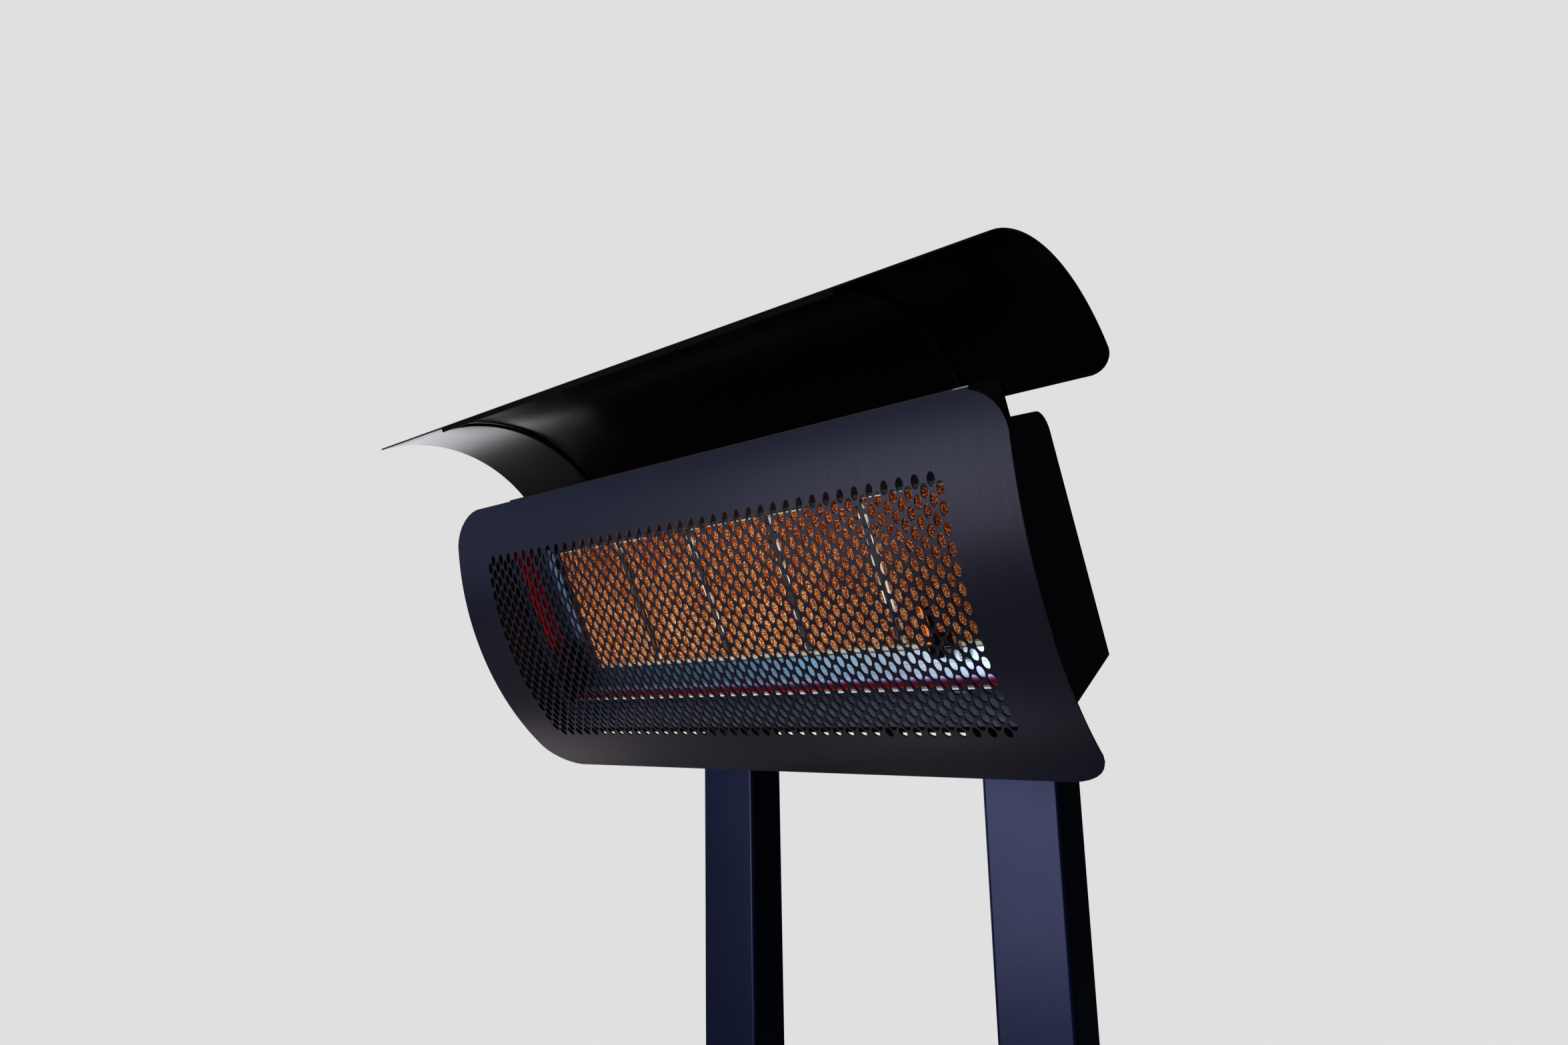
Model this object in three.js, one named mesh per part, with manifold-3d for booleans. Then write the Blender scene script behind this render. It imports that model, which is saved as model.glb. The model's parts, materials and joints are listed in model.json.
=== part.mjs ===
// Infrared patio heater tower: a tilting head with five glowing ceramic tiles behind a curved
// perforated screen, a deflector hood over it, and two posts on a wheeled base with a bottle cabinet.
// Millimetres, +Z up, front towards -Y. The floor is at Z = 0.
import * as THREE from 'three';
import { mergeVertices } from 'three/addons/utils/BufferGeometryUtils.js';
import Module from 'manifold-3d';

const wasm = await Module();
wasm.setup();

// ---- driving dimensions ----
const GAP = 0.3; // between pieces that touch
const RUNNING = 0.4; // between pieces that move
const SCREEN_GAP = 0.5; // between the bent screen and the flat-sided pieces behind it
const SHEET = 2; // folded steel sheet

const PIVOT_HEIGHT = 2120;
const PIVOT_TO_POST = 26.5;
const PIVOT_TO_HOUSING = 31;
const HEAD_TILT = 26.9; // degrees from upright, face towards the floor

const TILE_COUNT = 5;
const TILE_WIDTH = 92;
const TILE_HEIGHT = 130;
const TILE_THICK = 13;
const TILE_PITCH = 97.2;
const TILE_MID_Z = 62.9; // above the pivot, in the head
const TILE_BACK_Y = -109.2; // in the head, back face of the tiles
const FRAME_RIM = 7;
const FRAME_PROUD = 2;

const SCREEN_RADIUS = 312;
const SCREEN_WIDTH = 628.7;
const SCREEN_CENTRE = [109.5, 57.2]; // y, z in the head
const SCREEN_TOP_ANGLE = 153.1;
const SCREEN_FACETS = 15;
const SCREEN_STEP_ANGLE = 3.85;
const SCREEN_CORNER = 38;
const OPENING_PITCH = 38.1;
const OPENING_WIDTH = 25;
const OPENING_HEIGHT = 15.5;
const OPENING_ROWS = 9;
const CORNER_CUT_DEPTH = 40; // deep enough for a corner of a bent sheet
const SCREEN_BRACKET_DEPTH = 55; // its overlap with the housing
const SCREEN_BRACKET_INSET = 12;
const FIRST_OPENING_FACET = 3;

const HOOD_RADIUS = 159.6;
const HOOD_WIDTH = 696;
const HOOD_CENTRE = [-205.5, 128.2]; // y, z in the head
const HOOD_FRONT_ANGLE = 91.1;
const HOOD_REAR_ANGLE = 16.1;
const HOOD_THICK = 1.6;
const HOOD_LIP = 6;
const HOOD_REAR_CORNER = 22;
const HOOD_FRONT_CORNER = 6;
const ARM_X = 228.6;
const ARM_THICK = 3;
const ARM_DEPTH = 8;
const STRUT_WIDTH = 42;
const RIB_REAR_MARGIN = 5; // degrees of the hood left free behind the rib
const RIB_FRONT_MARGIN = 2.5;

const HOUSING_WIDTH = 559;
const HOUSING_BOTTOM_Z = -61.6;
const HOUSING_FRONT_Y = -157;
const HOUSING_TOP_FRONT_Z = 173.5;
const HOUSING_TOP_BACK_Z = 155;
const HOUSING_CORNER = 22;
const LOUVRE_COUNT = 9;
const LOUVRE_HEIGHT = 6;
const LOUVRE_PITCH = 15.6;
const LOUVRE_FIRST = 25; // above the housing's bottom
const PLENUM_DEPTH = 57;
const REFLECTOR_THICK = 1.2;
const REFLECTOR_DEPTH = 31.5;
const FLARE_ANGLE = 50.5;
const FLANGE_TOP_Z = 196.5;
const FLANGE_Y = -135;
const FLANGE_INSET = 8; // from each end of the housing
const FLANGE_FOOT = 24;
const FLANGE_SHELF_DROP = 10;

const POST_WIDTH = 74.8;
const POST_DEPTH = 50.8;
const POST_WALL = 2;
const POST_X = 177.7;
const POST_ABOVE_PIVOT = 30;
const CAP_THICK = 3;
const BAR_HEIGHT = 50;
const BAR_DEPTH = 25;
const UPPER_BAR_BELOW_PIVOT = 70;
const LOWER_BAR_HEIGHT = 1050;

const EAR_RADIUS = 16;
const EAR_THICK = 3;
const LUG_THICK = 6;
const BRACKET_HEIGHT = 86;
const BRACKET_WIDTH = 56;
const BOLT_RADIUS = 5;
const KNOB_RADIUS = 20;
const KNOB_LENGTH = 24;

const BASE_WIDTH = 500;
const BASE_FRONT_Y = -380;
const BASE_BACK_Y = 100;
const BASE_THICK = 8;
const FOOT_HEIGHT = 34;
const FOOT_RADIUS = 25;
const FOOT_INSET = 35;
const WHEEL_RADIUS = 80;
const WHEEL_WIDTH = 40;
const WHEEL_LIFT = 3;
const AXLE_RADIUS = 6;
const AXLE_Y = 60;
const FLANGE_PLATE = 6;
const FOOT_SIDE = 20; // of the plate under each post
const FOOT_BACK = 24;

const CABINET_WIDTH = 430;
const CABINET_FRONT_Y = -352;
const CABINET_HEIGHT = 658;
const DOOR_THICK = 16;
const DOOR_SLOTS = 7;
const HINGE_PIN_RADIUS = 3;
const KNUCKLE_RADIUS = 6;
const KNUCKLE_HEIGHT = 24;
const DECK_THICK = 2.5;
const CONTROL_Y = -250;
const GAS_KNOB_X = -90;
const GAS_KNOB_RADIUS = 22;
const GAS_KNOB_HEIGHT = 24;
const STEM_RADIUS = 4;
const BUTTON_X = 90;
const BUTTON_RADIUS = 8;
const BUTTON_TRAVEL = 4;
const MODULE_RADIUS = 14;

// ---- values that follow from them ----
const rad = THREE.MathUtils.degToRad;
const POST_FRONT_Y = -POST_DEPTH / 2;
const PIVOT_Y = POST_FRONT_Y - PIVOT_TO_POST;
const HOUSING_BACK_Y = -PIVOT_TO_HOUSING;
const TILE_FACE_Y = TILE_BACK_Y - TILE_THICK;
const FRAME_FRONT_Y = TILE_FACE_Y - FRAME_PROUD;
const FRAME_HALF_X = ((TILE_COUNT - 1) * TILE_PITCH + TILE_WIDTH) / 2 + GAP + FRAME_RIM;
const FRAME_HALF_Z = TILE_HEIGHT / 2 + GAP + FRAME_RIM;
const BASE_TOP_Z = FOOT_HEIGHT + BASE_THICK;
const POST_TOP_Z = PIVOT_HEIGHT + POST_ABOVE_PIVOT;
const POST_FOOT_Z = BASE_TOP_Z + GAP;
const CABINET_BOTTOM_Z = BASE_TOP_Z + GAP;
const CABINET_TOP_Z = CABINET_BOTTOM_Z + CABINET_HEIGHT;
const CABINET_BACK_Y = POST_FRONT_Y - GAP;
const DECK_BOTTOM_Z = CABINET_TOP_Z + GAP;
const DECK_TOP_Z = DECK_BOTTOM_Z + DECK_THICK;

// ---- helpers ----
function finish(color, roughness, metalness) {
  return () => new THREE.MeshStandardMaterial({ color, roughness, metalness });
}

function toSolid(geometry) {
  const bare = geometry.clone();
  bare.deleteAttribute('normal');
  bare.deleteAttribute('uv');
  const merged = mergeVertices(bare, 1e-4);
  const mesh = new wasm.Mesh({
    numProp: 3,
    vertProperties: new Float32Array(merged.attributes.position.array),
    triVerts: new Uint32Array(merged.index.array),
  });
  return new wasm.Manifold(mesh);
}

function toGeometry(solid) {
  const mesh = solid.getMesh();
  const geometry = new THREE.BufferGeometry();
  geometry.setAttribute('position', new THREE.BufferAttribute(mesh.vertProperties, 3));
  geometry.setIndex(new THREE.BufferAttribute(mesh.triVerts, 1));
  return geometry;
}

function join(pieces) {
  return toGeometry(pieces.map(toSolid).reduce((whole, piece) => whole.add(piece)));
}

function cut(body, tools) {
  return toGeometry(tools.map(toSolid).reduce((whole, tool) => whole.subtract(tool), toSolid(body)));
}

function box(x0, x1, y0, y1, z0, z1) {
  const geometry = new THREE.BoxGeometry(x1 - x0, y1 - y0, z1 - z0);
  return geometry.translate((x0 + x1) / 2, (y0 + y1) / 2, (z0 + z1) / 2);
}

// A rod along one axis, from one place to another on it; a and b are its place on the other axes.
function rod(axis, radius, from, to, a, b, sides = 16) {
  const geometry = new THREE.CylinderGeometry(radius, radius, to - from, sides);
  geometry.translate(0, (from + to) / 2, 0);
  if (axis === 'x') return geometry.rotateZ(-Math.PI / 2).translate(0, a, b);
  if (axis === 'z') return geometry.rotateX(Math.PI / 2).translate(a, b, 0);
  return geometry.translate(a, 0, b);
}

// A flat outline of [y, z] points, pulled along X.
function along(points, x0, x1) {
  const shape = new THREE.Shape(points.map(([y, z]) => new THREE.Vector2(y, z)));
  const geometry = new THREE.ExtrudeGeometry(shape, { depth: x1 - x0, bevelEnabled: false });
  const turn = new THREE.Matrix4().set(0, 0, 1, x0, 1, 0, 0, 0, 0, 1, 0, 0, 0, 0, 0, 1);
  return geometry.applyMatrix4(turn);
}

function arcPoint([y, z], radius, degrees) {
  return [y + radius * Math.cos(rad(degrees)), z + radius * Math.sin(rad(degrees))];
}

// A sheet bent round a centre, between two radii and two angles.
function bentSheet(centre, inner, outer, from, to, steps, x0, x1) {
  const angles = Array.from({ length: steps + 1 }, (_, i) => from + ((to - from) * i) / steps);
  const outside = angles.map((angle) => arcPoint(centre, outer, angle));
  const inside = angles.map((angle) => arcPoint(centre, inner, angle)).reverse();
  return along([...outside, ...inside], x0, x1);
}

// Stands a flat shape on a bent sheet as a cutter through it: shape x along X, shape y along the arc.
function acrossSheet(shape, centre, radius, degrees, x, depth) {
  const geometry = new THREE.ExtrudeGeometry(shape, { depth, bevelEnabled: false });
  geometry.translate(0, 0, -depth / 2);
  const tangent = new THREE.Vector3(0, -Math.sin(rad(degrees)), Math.cos(rad(degrees)));
  const inward = new THREE.Vector3(0, -Math.cos(rad(degrees)), -Math.sin(rad(degrees)));
  const [y, z] = arcPoint(centre, radius, degrees);
  const place = new THREE.Matrix4().makeBasis(new THREE.Vector3(1, 0, 0), tangent, inward);
  return geometry.applyMatrix4(place.setPosition(x, y, z));
}

// What a rounded corner takes off a square one; the sheet lies towards +x and +y times the signs.
function cornerShape(radius, signX, signY) {
  const shape = new THREE.Shape();
  const past = -2;
  const steps = 6;
  const points = [[past, past], [radius, past], [radius, 0]];
  for (let i = 1; i < steps; i += 1) {
    points.push(arcPoint([radius, radius], radius, -90 - (90 * i) / steps));
  }
  points.push([0, radius], [past, radius]);
  shape.setFromPoints(points.map(([x, y]) => new THREE.Vector2(signX * x, signY * y)));
  return shape;
}

function ring(axis, outer, inner, from, to, a, b, sides = 20) {
  return cut(rod(axis, outer, from, to, a, b, sides), [rod(axis, inner, from - 1, to + 1, a, b, sides)]);
}

const paint = finish(0x1c1e25, 0.5, 0.3);
const postPaint = finish(0x262c3c, 0.45, 0.3);
const screenSteel = finish(0x2e313d, 0.42, 0.7);
const polished = finish(0xc9d3dc, 0.18, 1);
const ceramic = finish(0xe0562a, 0.85, 0);
const zinc = finish(0xa9adb2, 0.35, 1);
const brass = finish(0xb59a55, 0.3, 1);
const rubber = finish(0x141414, 0.85, 0);
const plastic = finish(0x17181b, 0.5, 0);
const porcelain = finish(0xe9e5da, 0.3, 0);

const tower = new THREE.Group();
const head = new THREE.Group();
head.position.set(0, PIVOT_Y, PIVOT_HEIGHT);
head.rotation.x = rad(HEAD_TILT);
tower.add(head);

function add(name, geometry, material, parent = tower) {
  const mesh = new THREE.Mesh(geometry, material());
  mesh.name = name;
  parent.add(mesh);
  return mesh;
}

const SIDES = [['left', -1], ['right', 1]];
const between = (sign, near, far) => (sign > 0 ? [near, far] : [-far, -near]);

// ---- head: curved screen ----
function screenGeometry() {
  const half = SCREEN_WIDTH / 2;
  const inner = SCREEN_RADIUS - SHEET / 2;
  const outer = SCREEN_RADIUS + SHEET / 2;
  const bottomAngle = SCREEN_TOP_ANGLE + SCREEN_FACETS * SCREEN_STEP_ANGLE;
  const sheet = bentSheet(SCREEN_CENTRE, inner, outer, SCREEN_TOP_ANGLE, bottomAngle,
    SCREEN_FACETS, -half, half);
  const opening = new THREE.Shape();
  const w = OPENING_WIDTH / 2;
  const h = OPENING_HEIGHT / 2;
  opening.setFromPoints([[-w, 0], [-w / 2, -h], [w / 2, -h], [w, 0], [w / 2, h], [-w / 2, h]]
    .map(([x, y]) => new THREE.Vector2(x, y)));
  const columns = Math.floor((SCREEN_WIDTH - 2 * SCREEN_CORNER - OPENING_WIDTH) / OPENING_PITCH);
  const tools = [];
  for (let row = 0; row < OPENING_ROWS; row += 1) {
    const angle = SCREEN_TOP_ANGLE + (FIRST_OPENING_FACET + row + 0.5) * SCREEN_STEP_ANGLE;
    const count = columns - 1 + (row % 2);
    for (let i = 0; i < count; i += 1) {
      const x = (i - (count - 1) / 2) * OPENING_PITCH;
      tools.push(acrossSheet(opening, SCREEN_CENTRE, SCREEN_RADIUS, angle, x, 4 * SHEET));
    }
  }
  for (const [, sign] of SIDES) {
    for (const [angle, up] of [[SCREEN_TOP_ANGLE, 1], [bottomAngle, -1]]) {
      const shape = cornerShape(SCREEN_CORNER, -sign, up);
      tools.push(acrossSheet(shape, SCREEN_CENTRE, SCREEN_RADIUS, angle, sign * half, CORNER_CUT_DEPTH));
    }
  }
  return cut(sheet, tools);
}
add('front_screen', screenGeometry(), screenSteel, head);

function screenBackY(z) {
  const inner = SCREEN_RADIUS - SHEET / 2;
  return SCREEN_CENTRE[0] - Math.sqrt(inner ** 2 - (z - SCREEN_CENTRE[1]) ** 2);
}

// Side plates between the housing and the back of the screen.
for (const [side, sign] of SIDES) {
  const low = HOUSING_BOTTOM_Z + SCREEN_BRACKET_INSET;
  const high = HOUSING_TOP_FRONT_Z - SCREEN_BRACKET_INSET;
  const backY = HOUSING_FRONT_Y + SCREEN_BRACKET_DEPTH;
  const steps = 8;
  const front = Array.from({ length: steps + 1 }, (_, i) => {
    const z = high + ((low - high) * i) / steps;
    return [screenBackY(z) + SCREEN_GAP, z];
  });
  const near = HOUSING_WIDTH / 2 + GAP;
  add(`screen_bracket_${side}`, along([...front, [backY, low], [backY, high]],
    ...between(sign, near, near + SHEET)), paint, head);
}

// ---- head: hood and its arms ----
function hoodGeometry() {
  const half = HOOD_WIDTH / 2;
  const inner = HOOD_RADIUS - HOOD_THICK / 2;
  const outer = HOOD_RADIUS + HOOD_THICK / 2;
  const sheet = bentSheet(HOOD_CENTRE, inner, outer, HOOD_REAR_ANGLE, HOOD_FRONT_ANGLE, 20, -half, half);
  const lipAngle = THREE.MathUtils.radToDeg(HOOD_THICK / HOOD_RADIUS);
  const lip = bentSheet(HOOD_CENTRE, inner - HOOD_LIP, inner + HOOD_THICK / 2, HOOD_FRONT_ANGLE - lipAngle,
    HOOD_FRONT_ANGLE, 1, -half, half);
  const tools = [];
  for (const [, sign] of SIDES) {
    const rear = cornerShape(HOOD_REAR_CORNER, -sign, 1);
    const front = cornerShape(HOOD_FRONT_CORNER, -sign, -1);
    tools.push(acrossSheet(rear, HOOD_CENTRE, HOOD_RADIUS, HOOD_REAR_ANGLE, sign * half, CORNER_CUT_DEPTH));
    tools.push(acrossSheet(front, HOOD_CENTRE, HOOD_RADIUS, HOOD_FRONT_ANGLE, sign * half, CORNER_CUT_DEPTH));
  }
  return cut(join([sheet, lip]), tools);
}
add('hood', hoodGeometry(), paint, head);

function housingTopZ(y) {
  const backY = HOUSING_BACK_Y - HOUSING_CORNER;
  const slope = (HOUSING_TOP_FRONT_Z - HOUSING_TOP_BACK_Z) / (HOUSING_FRONT_Y - backY);
  return HOUSING_TOP_BACK_Z + slope * (y - backY);
}

for (const [side, sign] of SIDES) {
  const top = HOOD_RADIUS - HOOD_THICK / 2 - GAP;
  const [x0, x1] = between(sign, ARM_X, ARM_X + ARM_THICK);
  const rib = bentSheet(HOOD_CENTRE, top - ARM_DEPTH, top, HOOD_REAR_ANGLE + RIB_REAR_MARGIN,
    HOOD_FRONT_ANGLE - RIB_FRONT_MARGIN, 14, x0, x1);
  const strutY = arcPoint(HOOD_CENTRE, top - ARM_DEPTH / 2, HOOD_REAR_ANGLE + RIB_REAR_MARGIN + 1)[0];
  const reach = strutY + ARM_THICK - HOOD_CENTRE[0];
  const strutTop = HOOD_CENTRE[1] + Math.sqrt(top ** 2 - reach ** 2) - GAP;
  const strut = box(...between(sign, ARM_X, ARM_X + STRUT_WIDTH), strutY, strutY + ARM_THICK,
    housingTopZ(strutY) + GAP, strutTop);
  add(`hood_arm_${side}`, join([rib, strut]), paint, head);
}

// ---- head: rear housing ----
function housingGeometry() {
  const half = HOUSING_WIDTH / 2;
  const corner = HOUSING_BACK_Y - HOUSING_CORNER;
  const outline = (wall, front) => [
    [front, HOUSING_BOTTOM_Z + wall],
    [HOUSING_BACK_Y - wall, HOUSING_BOTTOM_Z + wall],
    [HOUSING_BACK_Y - wall, HOUSING_TOP_BACK_Z - HOUSING_CORNER - wall / 2],
    [corner - wall / 2, HOUSING_TOP_BACK_Z - wall],
    [front, housingTopZ(front) - wall],
  ];
  const outer = along(outline(0, HOUSING_FRONT_Y), -half, half);
  const inner = along(outline(SHEET, HOUSING_FRONT_Y - 10), -half + SHEET, half - SHEET);
  const tools = [inner];
  const louvreHalf = POST_X - BRACKET_WIDTH;
  for (let i = 0; i < LOUVRE_COUNT; i += 1) {
    const z = HOUSING_BOTTOM_Z + LOUVRE_FIRST + i * LOUVRE_PITCH;
    tools.push(box(-louvreHalf, louvreHalf, HOUSING_BACK_Y - 3 * SHEET, HOUSING_BACK_Y + SHEET,
      z, z + LOUVRE_HEIGHT));
  }
  return cut(outer, tools);
}
add('rear_housing', housingGeometry(), paint, head);

// Bent strip from the housing's top edge up to the screen's top edge.
function topFlangeGeometry() {
  const half = HOUSING_WIDTH / 2 - FLANGE_INSET;
  const frontZ = housingTopZ(FLANGE_Y) + GAP;
  const rearY = FLANGE_Y + FLANGE_FOOT;
  const rearZ = housingTopZ(rearY) + GAP;
  const shelfZ = FLANGE_TOP_Z - FLANGE_SHELF_DROP;
  const leg = box(-half, half, FLANGE_Y, FLANGE_Y + SHEET, frontZ, FLANGE_TOP_Z);
  const foot = along([[FLANGE_Y, frontZ], [rearY, rearZ], [rearY, rearZ + SHEET], [FLANGE_Y, frontZ + SHEET]],
    -half, half);
  const shelf = box(-half, half, screenBackY(shelfZ + SHEET) + SCREEN_GAP, FLANGE_Y + SHEET,
    shelfZ, shelfZ + SHEET);
  return join([leg, foot, shelf]);
}
add('top_flange', topFlangeGeometry(), paint, head);

// ---- head: burner ----
for (let i = 0; i < TILE_COUNT; i += 1) {
  const x = (i - (TILE_COUNT - 1) / 2) * TILE_PITCH;
  add(`ceramic_tile_${i + 1}`, box(x - TILE_WIDTH / 2, x + TILE_WIDTH / 2, TILE_FACE_Y, TILE_BACK_Y,
    TILE_MID_Z - TILE_HEIGHT / 2, TILE_MID_Z + TILE_HEIGHT / 2), ceramic, head);
}

function tileFrameGeometry() {
  const block = box(-FRAME_HALF_X, FRAME_HALF_X, FRAME_FRONT_Y, TILE_BACK_Y,
    TILE_MID_Z - FRAME_HALF_Z, TILE_MID_Z + FRAME_HALF_Z);
  const holes = [];
  for (let i = 0; i < TILE_COUNT; i += 1) {
    const x = (i - (TILE_COUNT - 1) / 2) * TILE_PITCH;
    const halfX = TILE_WIDTH / 2 + GAP;
    const halfZ = TILE_HEIGHT / 2 + GAP;
    holes.push(box(x - halfX, x + halfX, FRAME_FRONT_Y - 5, TILE_BACK_Y + 5,
      TILE_MID_Z - halfZ, TILE_MID_Z + halfZ));
  }
  return cut(block, holes);
}
add('tile_frame', tileFrameGeometry(), polished, head);

const PLENUM_FRONT_Y = TILE_BACK_Y + GAP;
const PLENUM_BACK_Y = PLENUM_FRONT_Y + PLENUM_DEPTH;
const PLENUM_BOTTOM_Z = TILE_MID_Z - FRAME_HALF_Z;
const MIXER_RADIUS = 17;
const MIXER_Y = (PLENUM_FRONT_Y + PLENUM_BACK_Y) / 2;
const MIXER_Z = (HOUSING_BOTTOM_Z + SHEET + PLENUM_BOTTOM_Z) / 2;
const MIXER_RIGHT_X = 150;
const MIXER_LEFT_X = -110;
const ELBOW_WIDTH = 44;

function plenumGeometry() {
  const outer = box(-FRAME_HALF_X, FRAME_HALF_X, PLENUM_FRONT_Y, PLENUM_BACK_Y,
    PLENUM_BOTTOM_Z, TILE_MID_Z + FRAME_HALF_Z);
  const inner = box(-FRAME_HALF_X + SHEET, FRAME_HALF_X - SHEET, PLENUM_FRONT_Y - 5, PLENUM_BACK_Y - SHEET,
    PLENUM_BOTTOM_Z + SHEET, TILE_MID_Z + FRAME_HALF_Z - SHEET);
  const port = box(MIXER_LEFT_X - ELBOW_WIDTH + SHEET, MIXER_LEFT_X - SHEET, MIXER_Y - MIXER_RADIUS + SHEET,
    MIXER_Y + MIXER_RADIUS - SHEET, PLENUM_BOTTOM_Z - 5, PLENUM_BOTTOM_Z + 5);
  return cut(outer, [inner, port]);
}
add('burner_plenum', plenumGeometry(), zinc, head);

// Spacer that carries the plenum on the housing's back wall: a strip with a stub at each end.
function plenumMountGeometry() {
  const half = 10;
  const reach = FRAME_HALF_X - 30;
  const y0 = PLENUM_BACK_Y + GAP;
  const y1 = HOUSING_BACK_Y - SHEET - GAP;
  const z = TILE_MID_Z + FRAME_HALF_Z - 24;
  const strip = box(-reach - half, reach + half, y0, y0 + SHEET, z - half, z + half);
  const stubs = [-1, 0, 1].map((place) => rod('y', 7, y0 + 1, y1, place * reach, z, 12));
  return join([strip, ...stubs]);
}
add('plenum_mount', plenumMountGeometry(), zinc, head);

function mixerGeometry() {
  const radiusIn = MIXER_RADIUS - SHEET;
  const bell = new THREE.CylinderGeometry(MIXER_RADIUS + 5, MIXER_RADIUS, 20, 20);
  bell.rotateZ(-Math.PI / 2).translate(MIXER_RIGHT_X - 10, MIXER_Y, MIXER_Z);
  const tube = rod('x', MIXER_RADIUS, MIXER_LEFT_X - 5, MIXER_RIGHT_X - 10, MIXER_Y, MIXER_Z, 20);
  const elbow = box(MIXER_LEFT_X - ELBOW_WIDTH, MIXER_LEFT_X, MIXER_Y - MIXER_RADIUS, MIXER_Y + MIXER_RADIUS,
    MIXER_Z - MIXER_RADIUS, PLENUM_BOTTOM_Z - GAP);
  const bore = rod('x', radiusIn, MIXER_LEFT_X - 10, MIXER_RIGHT_X + 5, MIXER_Y, MIXER_Z, 20);
  const duct = box(MIXER_LEFT_X - ELBOW_WIDTH + SHEET, MIXER_LEFT_X - SHEET, MIXER_Y - radiusIn,
    MIXER_Y + radiusIn, MIXER_Z - radiusIn, PLENUM_BOTTOM_Z + 5);
  return cut(join([bell, tube, elbow]), [bore, duct]);
}
add('mixer_tube', mixerGeometry(), zinc, head);

const INJECTOR_X = MIXER_RIGHT_X + 12;
const INJECTOR_RADIUS = 6;
const INJECTOR_BRACKET_HALF = 20;
function injectorBracketGeometry() {
  const floorZ = HOUSING_BOTTOM_Z + SHEET + GAP;
  const y0 = MIXER_Y - INJECTOR_BRACKET_HALF;
  const y1 = MIXER_Y + INJECTOR_BRACKET_HALF;
  const plate = box(INJECTOR_X, INJECTOR_X + SHEET, y0, y1, floorZ, MIXER_Z + 15);
  const foot = box(INJECTOR_X, INJECTOR_X + INJECTOR_BRACKET_HALF, y0, y1, floorZ, floorZ + SHEET);
  const hole = rod('x', INJECTOR_RADIUS + GAP, INJECTOR_X - 5, INJECTOR_X + 10, MIXER_Y, MIXER_Z, 12);
  return cut(join([plate, foot]), [hole]);
}
add('injector_bracket', injectorBracketGeometry(), zinc, head);

function injectorGeometry() {
  const nozzle = rod('x', INJECTOR_RADIUS, INJECTOR_X - 10, INJECTOR_X + 20, MIXER_Y, MIXER_Z, 12);
  const collar = rod('x', 10, INJECTOR_X + SHEET + GAP, INJECTOR_X + 12, MIXER_Y, MIXER_Z, 6);
  return join([nozzle, collar]);
}
add('gas_injector', injectorGeometry(), brass, head);

// Gas inlet: a threaded nipple with a lock nut through the housing's floor.
const INLET_X = INJECTOR_X + 50;
const INLET_RADIUS = 7;
const INLET_NUT_RADIUS = 12;
function gasInletGeometry() {
  const floorZ = HOUSING_BOTTOM_Z;
  const nipple = rod('z', INLET_RADIUS, floorZ - 26, floorZ + 16, INLET_X, MIXER_Y, 12);
  const outside = rod('z', INLET_NUT_RADIUS, floorZ - 10, floorZ - GAP, INLET_X, MIXER_Y, 6);
  const inside = rod('z', INLET_NUT_RADIUS, floorZ + SHEET + GAP, floorZ + 9, INLET_X, MIXER_Y, 6);
  return join([nipple, outside, inside]);
}
const housing = head.getObjectByName('rear_housing');
housing.geometry = cut(housing.geometry, [
  rod('z', INLET_RADIUS + GAP, HOUSING_BOTTOM_Z - 5, HOUSING_BOTTOM_Z + 5, INLET_X, MIXER_Y, 12),
]);
add('gas_inlet', gasInletGeometry(), brass, head);

// Polished plates that flare forwards from the four edges of the tile frame.
function flareGeometry(length, angle) {
  return box(-length / 2, length / 2, -REFLECTOR_DEPTH, 0, -REFLECTOR_THICK / 2, REFLECTOR_THICK / 2)
    .rotateX(rad(angle));
}
const FLARE_START_Y = FRAME_FRONT_Y - 1;
const flareX = FRAME_HALF_X - 2;
const flareZ = FRAME_HALF_Z - 2;
add('reflector_lower', flareGeometry(2 * flareX, FLARE_ANGLE)
  .translate(0, FLARE_START_Y, TILE_MID_Z - flareZ), polished, head);
add('reflector_upper', flareGeometry(2 * flareX, -FLARE_ANGLE)
  .translate(0, FLARE_START_Y, TILE_MID_Z + flareZ), polished, head);
for (const [side, sign] of SIDES) {
  const plate = flareGeometry(2 * flareZ - 6, -FLARE_ANGLE * sign).rotateY(Math.PI / 2)
    .translate(sign * (flareX + 1.5), FLARE_START_Y, TILE_MID_Z);
  add(`reflector_${side}`, plate, polished, head);
}

// Electrode and thermocouple on a bracket in front of the last tile.
const PILOT_X = 2 * TILE_PITCH - 8.6;
const PILOT_Y = FRAME_FRONT_Y - 12;
const PILOT_Z = TILE_MID_Z - TILE_HEIGHT / 2 + 4;
const PILOT_HALF = 9.5;
const STICK_OFFSET = 4.3; // electrode to one side of the bracket's middle, thermocouple to the other
const STICK_RADIUS = 2.9;
const STICK_COLLAR_RADIUS = 3.9;
function pilotBracketGeometry() {
  const y1 = FRAME_FRONT_Y - GAP;
  const x0 = PILOT_X - PILOT_HALF;
  const x1 = PILOT_X + PILOT_HALF;
  const plate = box(x0, x1, y1 - SHEET, y1, PILOT_Z - 6, PILOT_Z + 6);
  const shelf = box(x0, x1, PILOT_Y - 6, y1, PILOT_Z, PILOT_Z + SHEET);
  const holes = [-1, 1].map((way) => rod('z', STICK_RADIUS + GAP, PILOT_Z - 5, PILOT_Z + 6,
    PILOT_X + way * STICK_OFFSET, PILOT_Y, 12));
  return cut(join([plate, shelf]), holes);
}
add('pilot_bracket', pilotBracketGeometry(), zinc, head);

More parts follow.
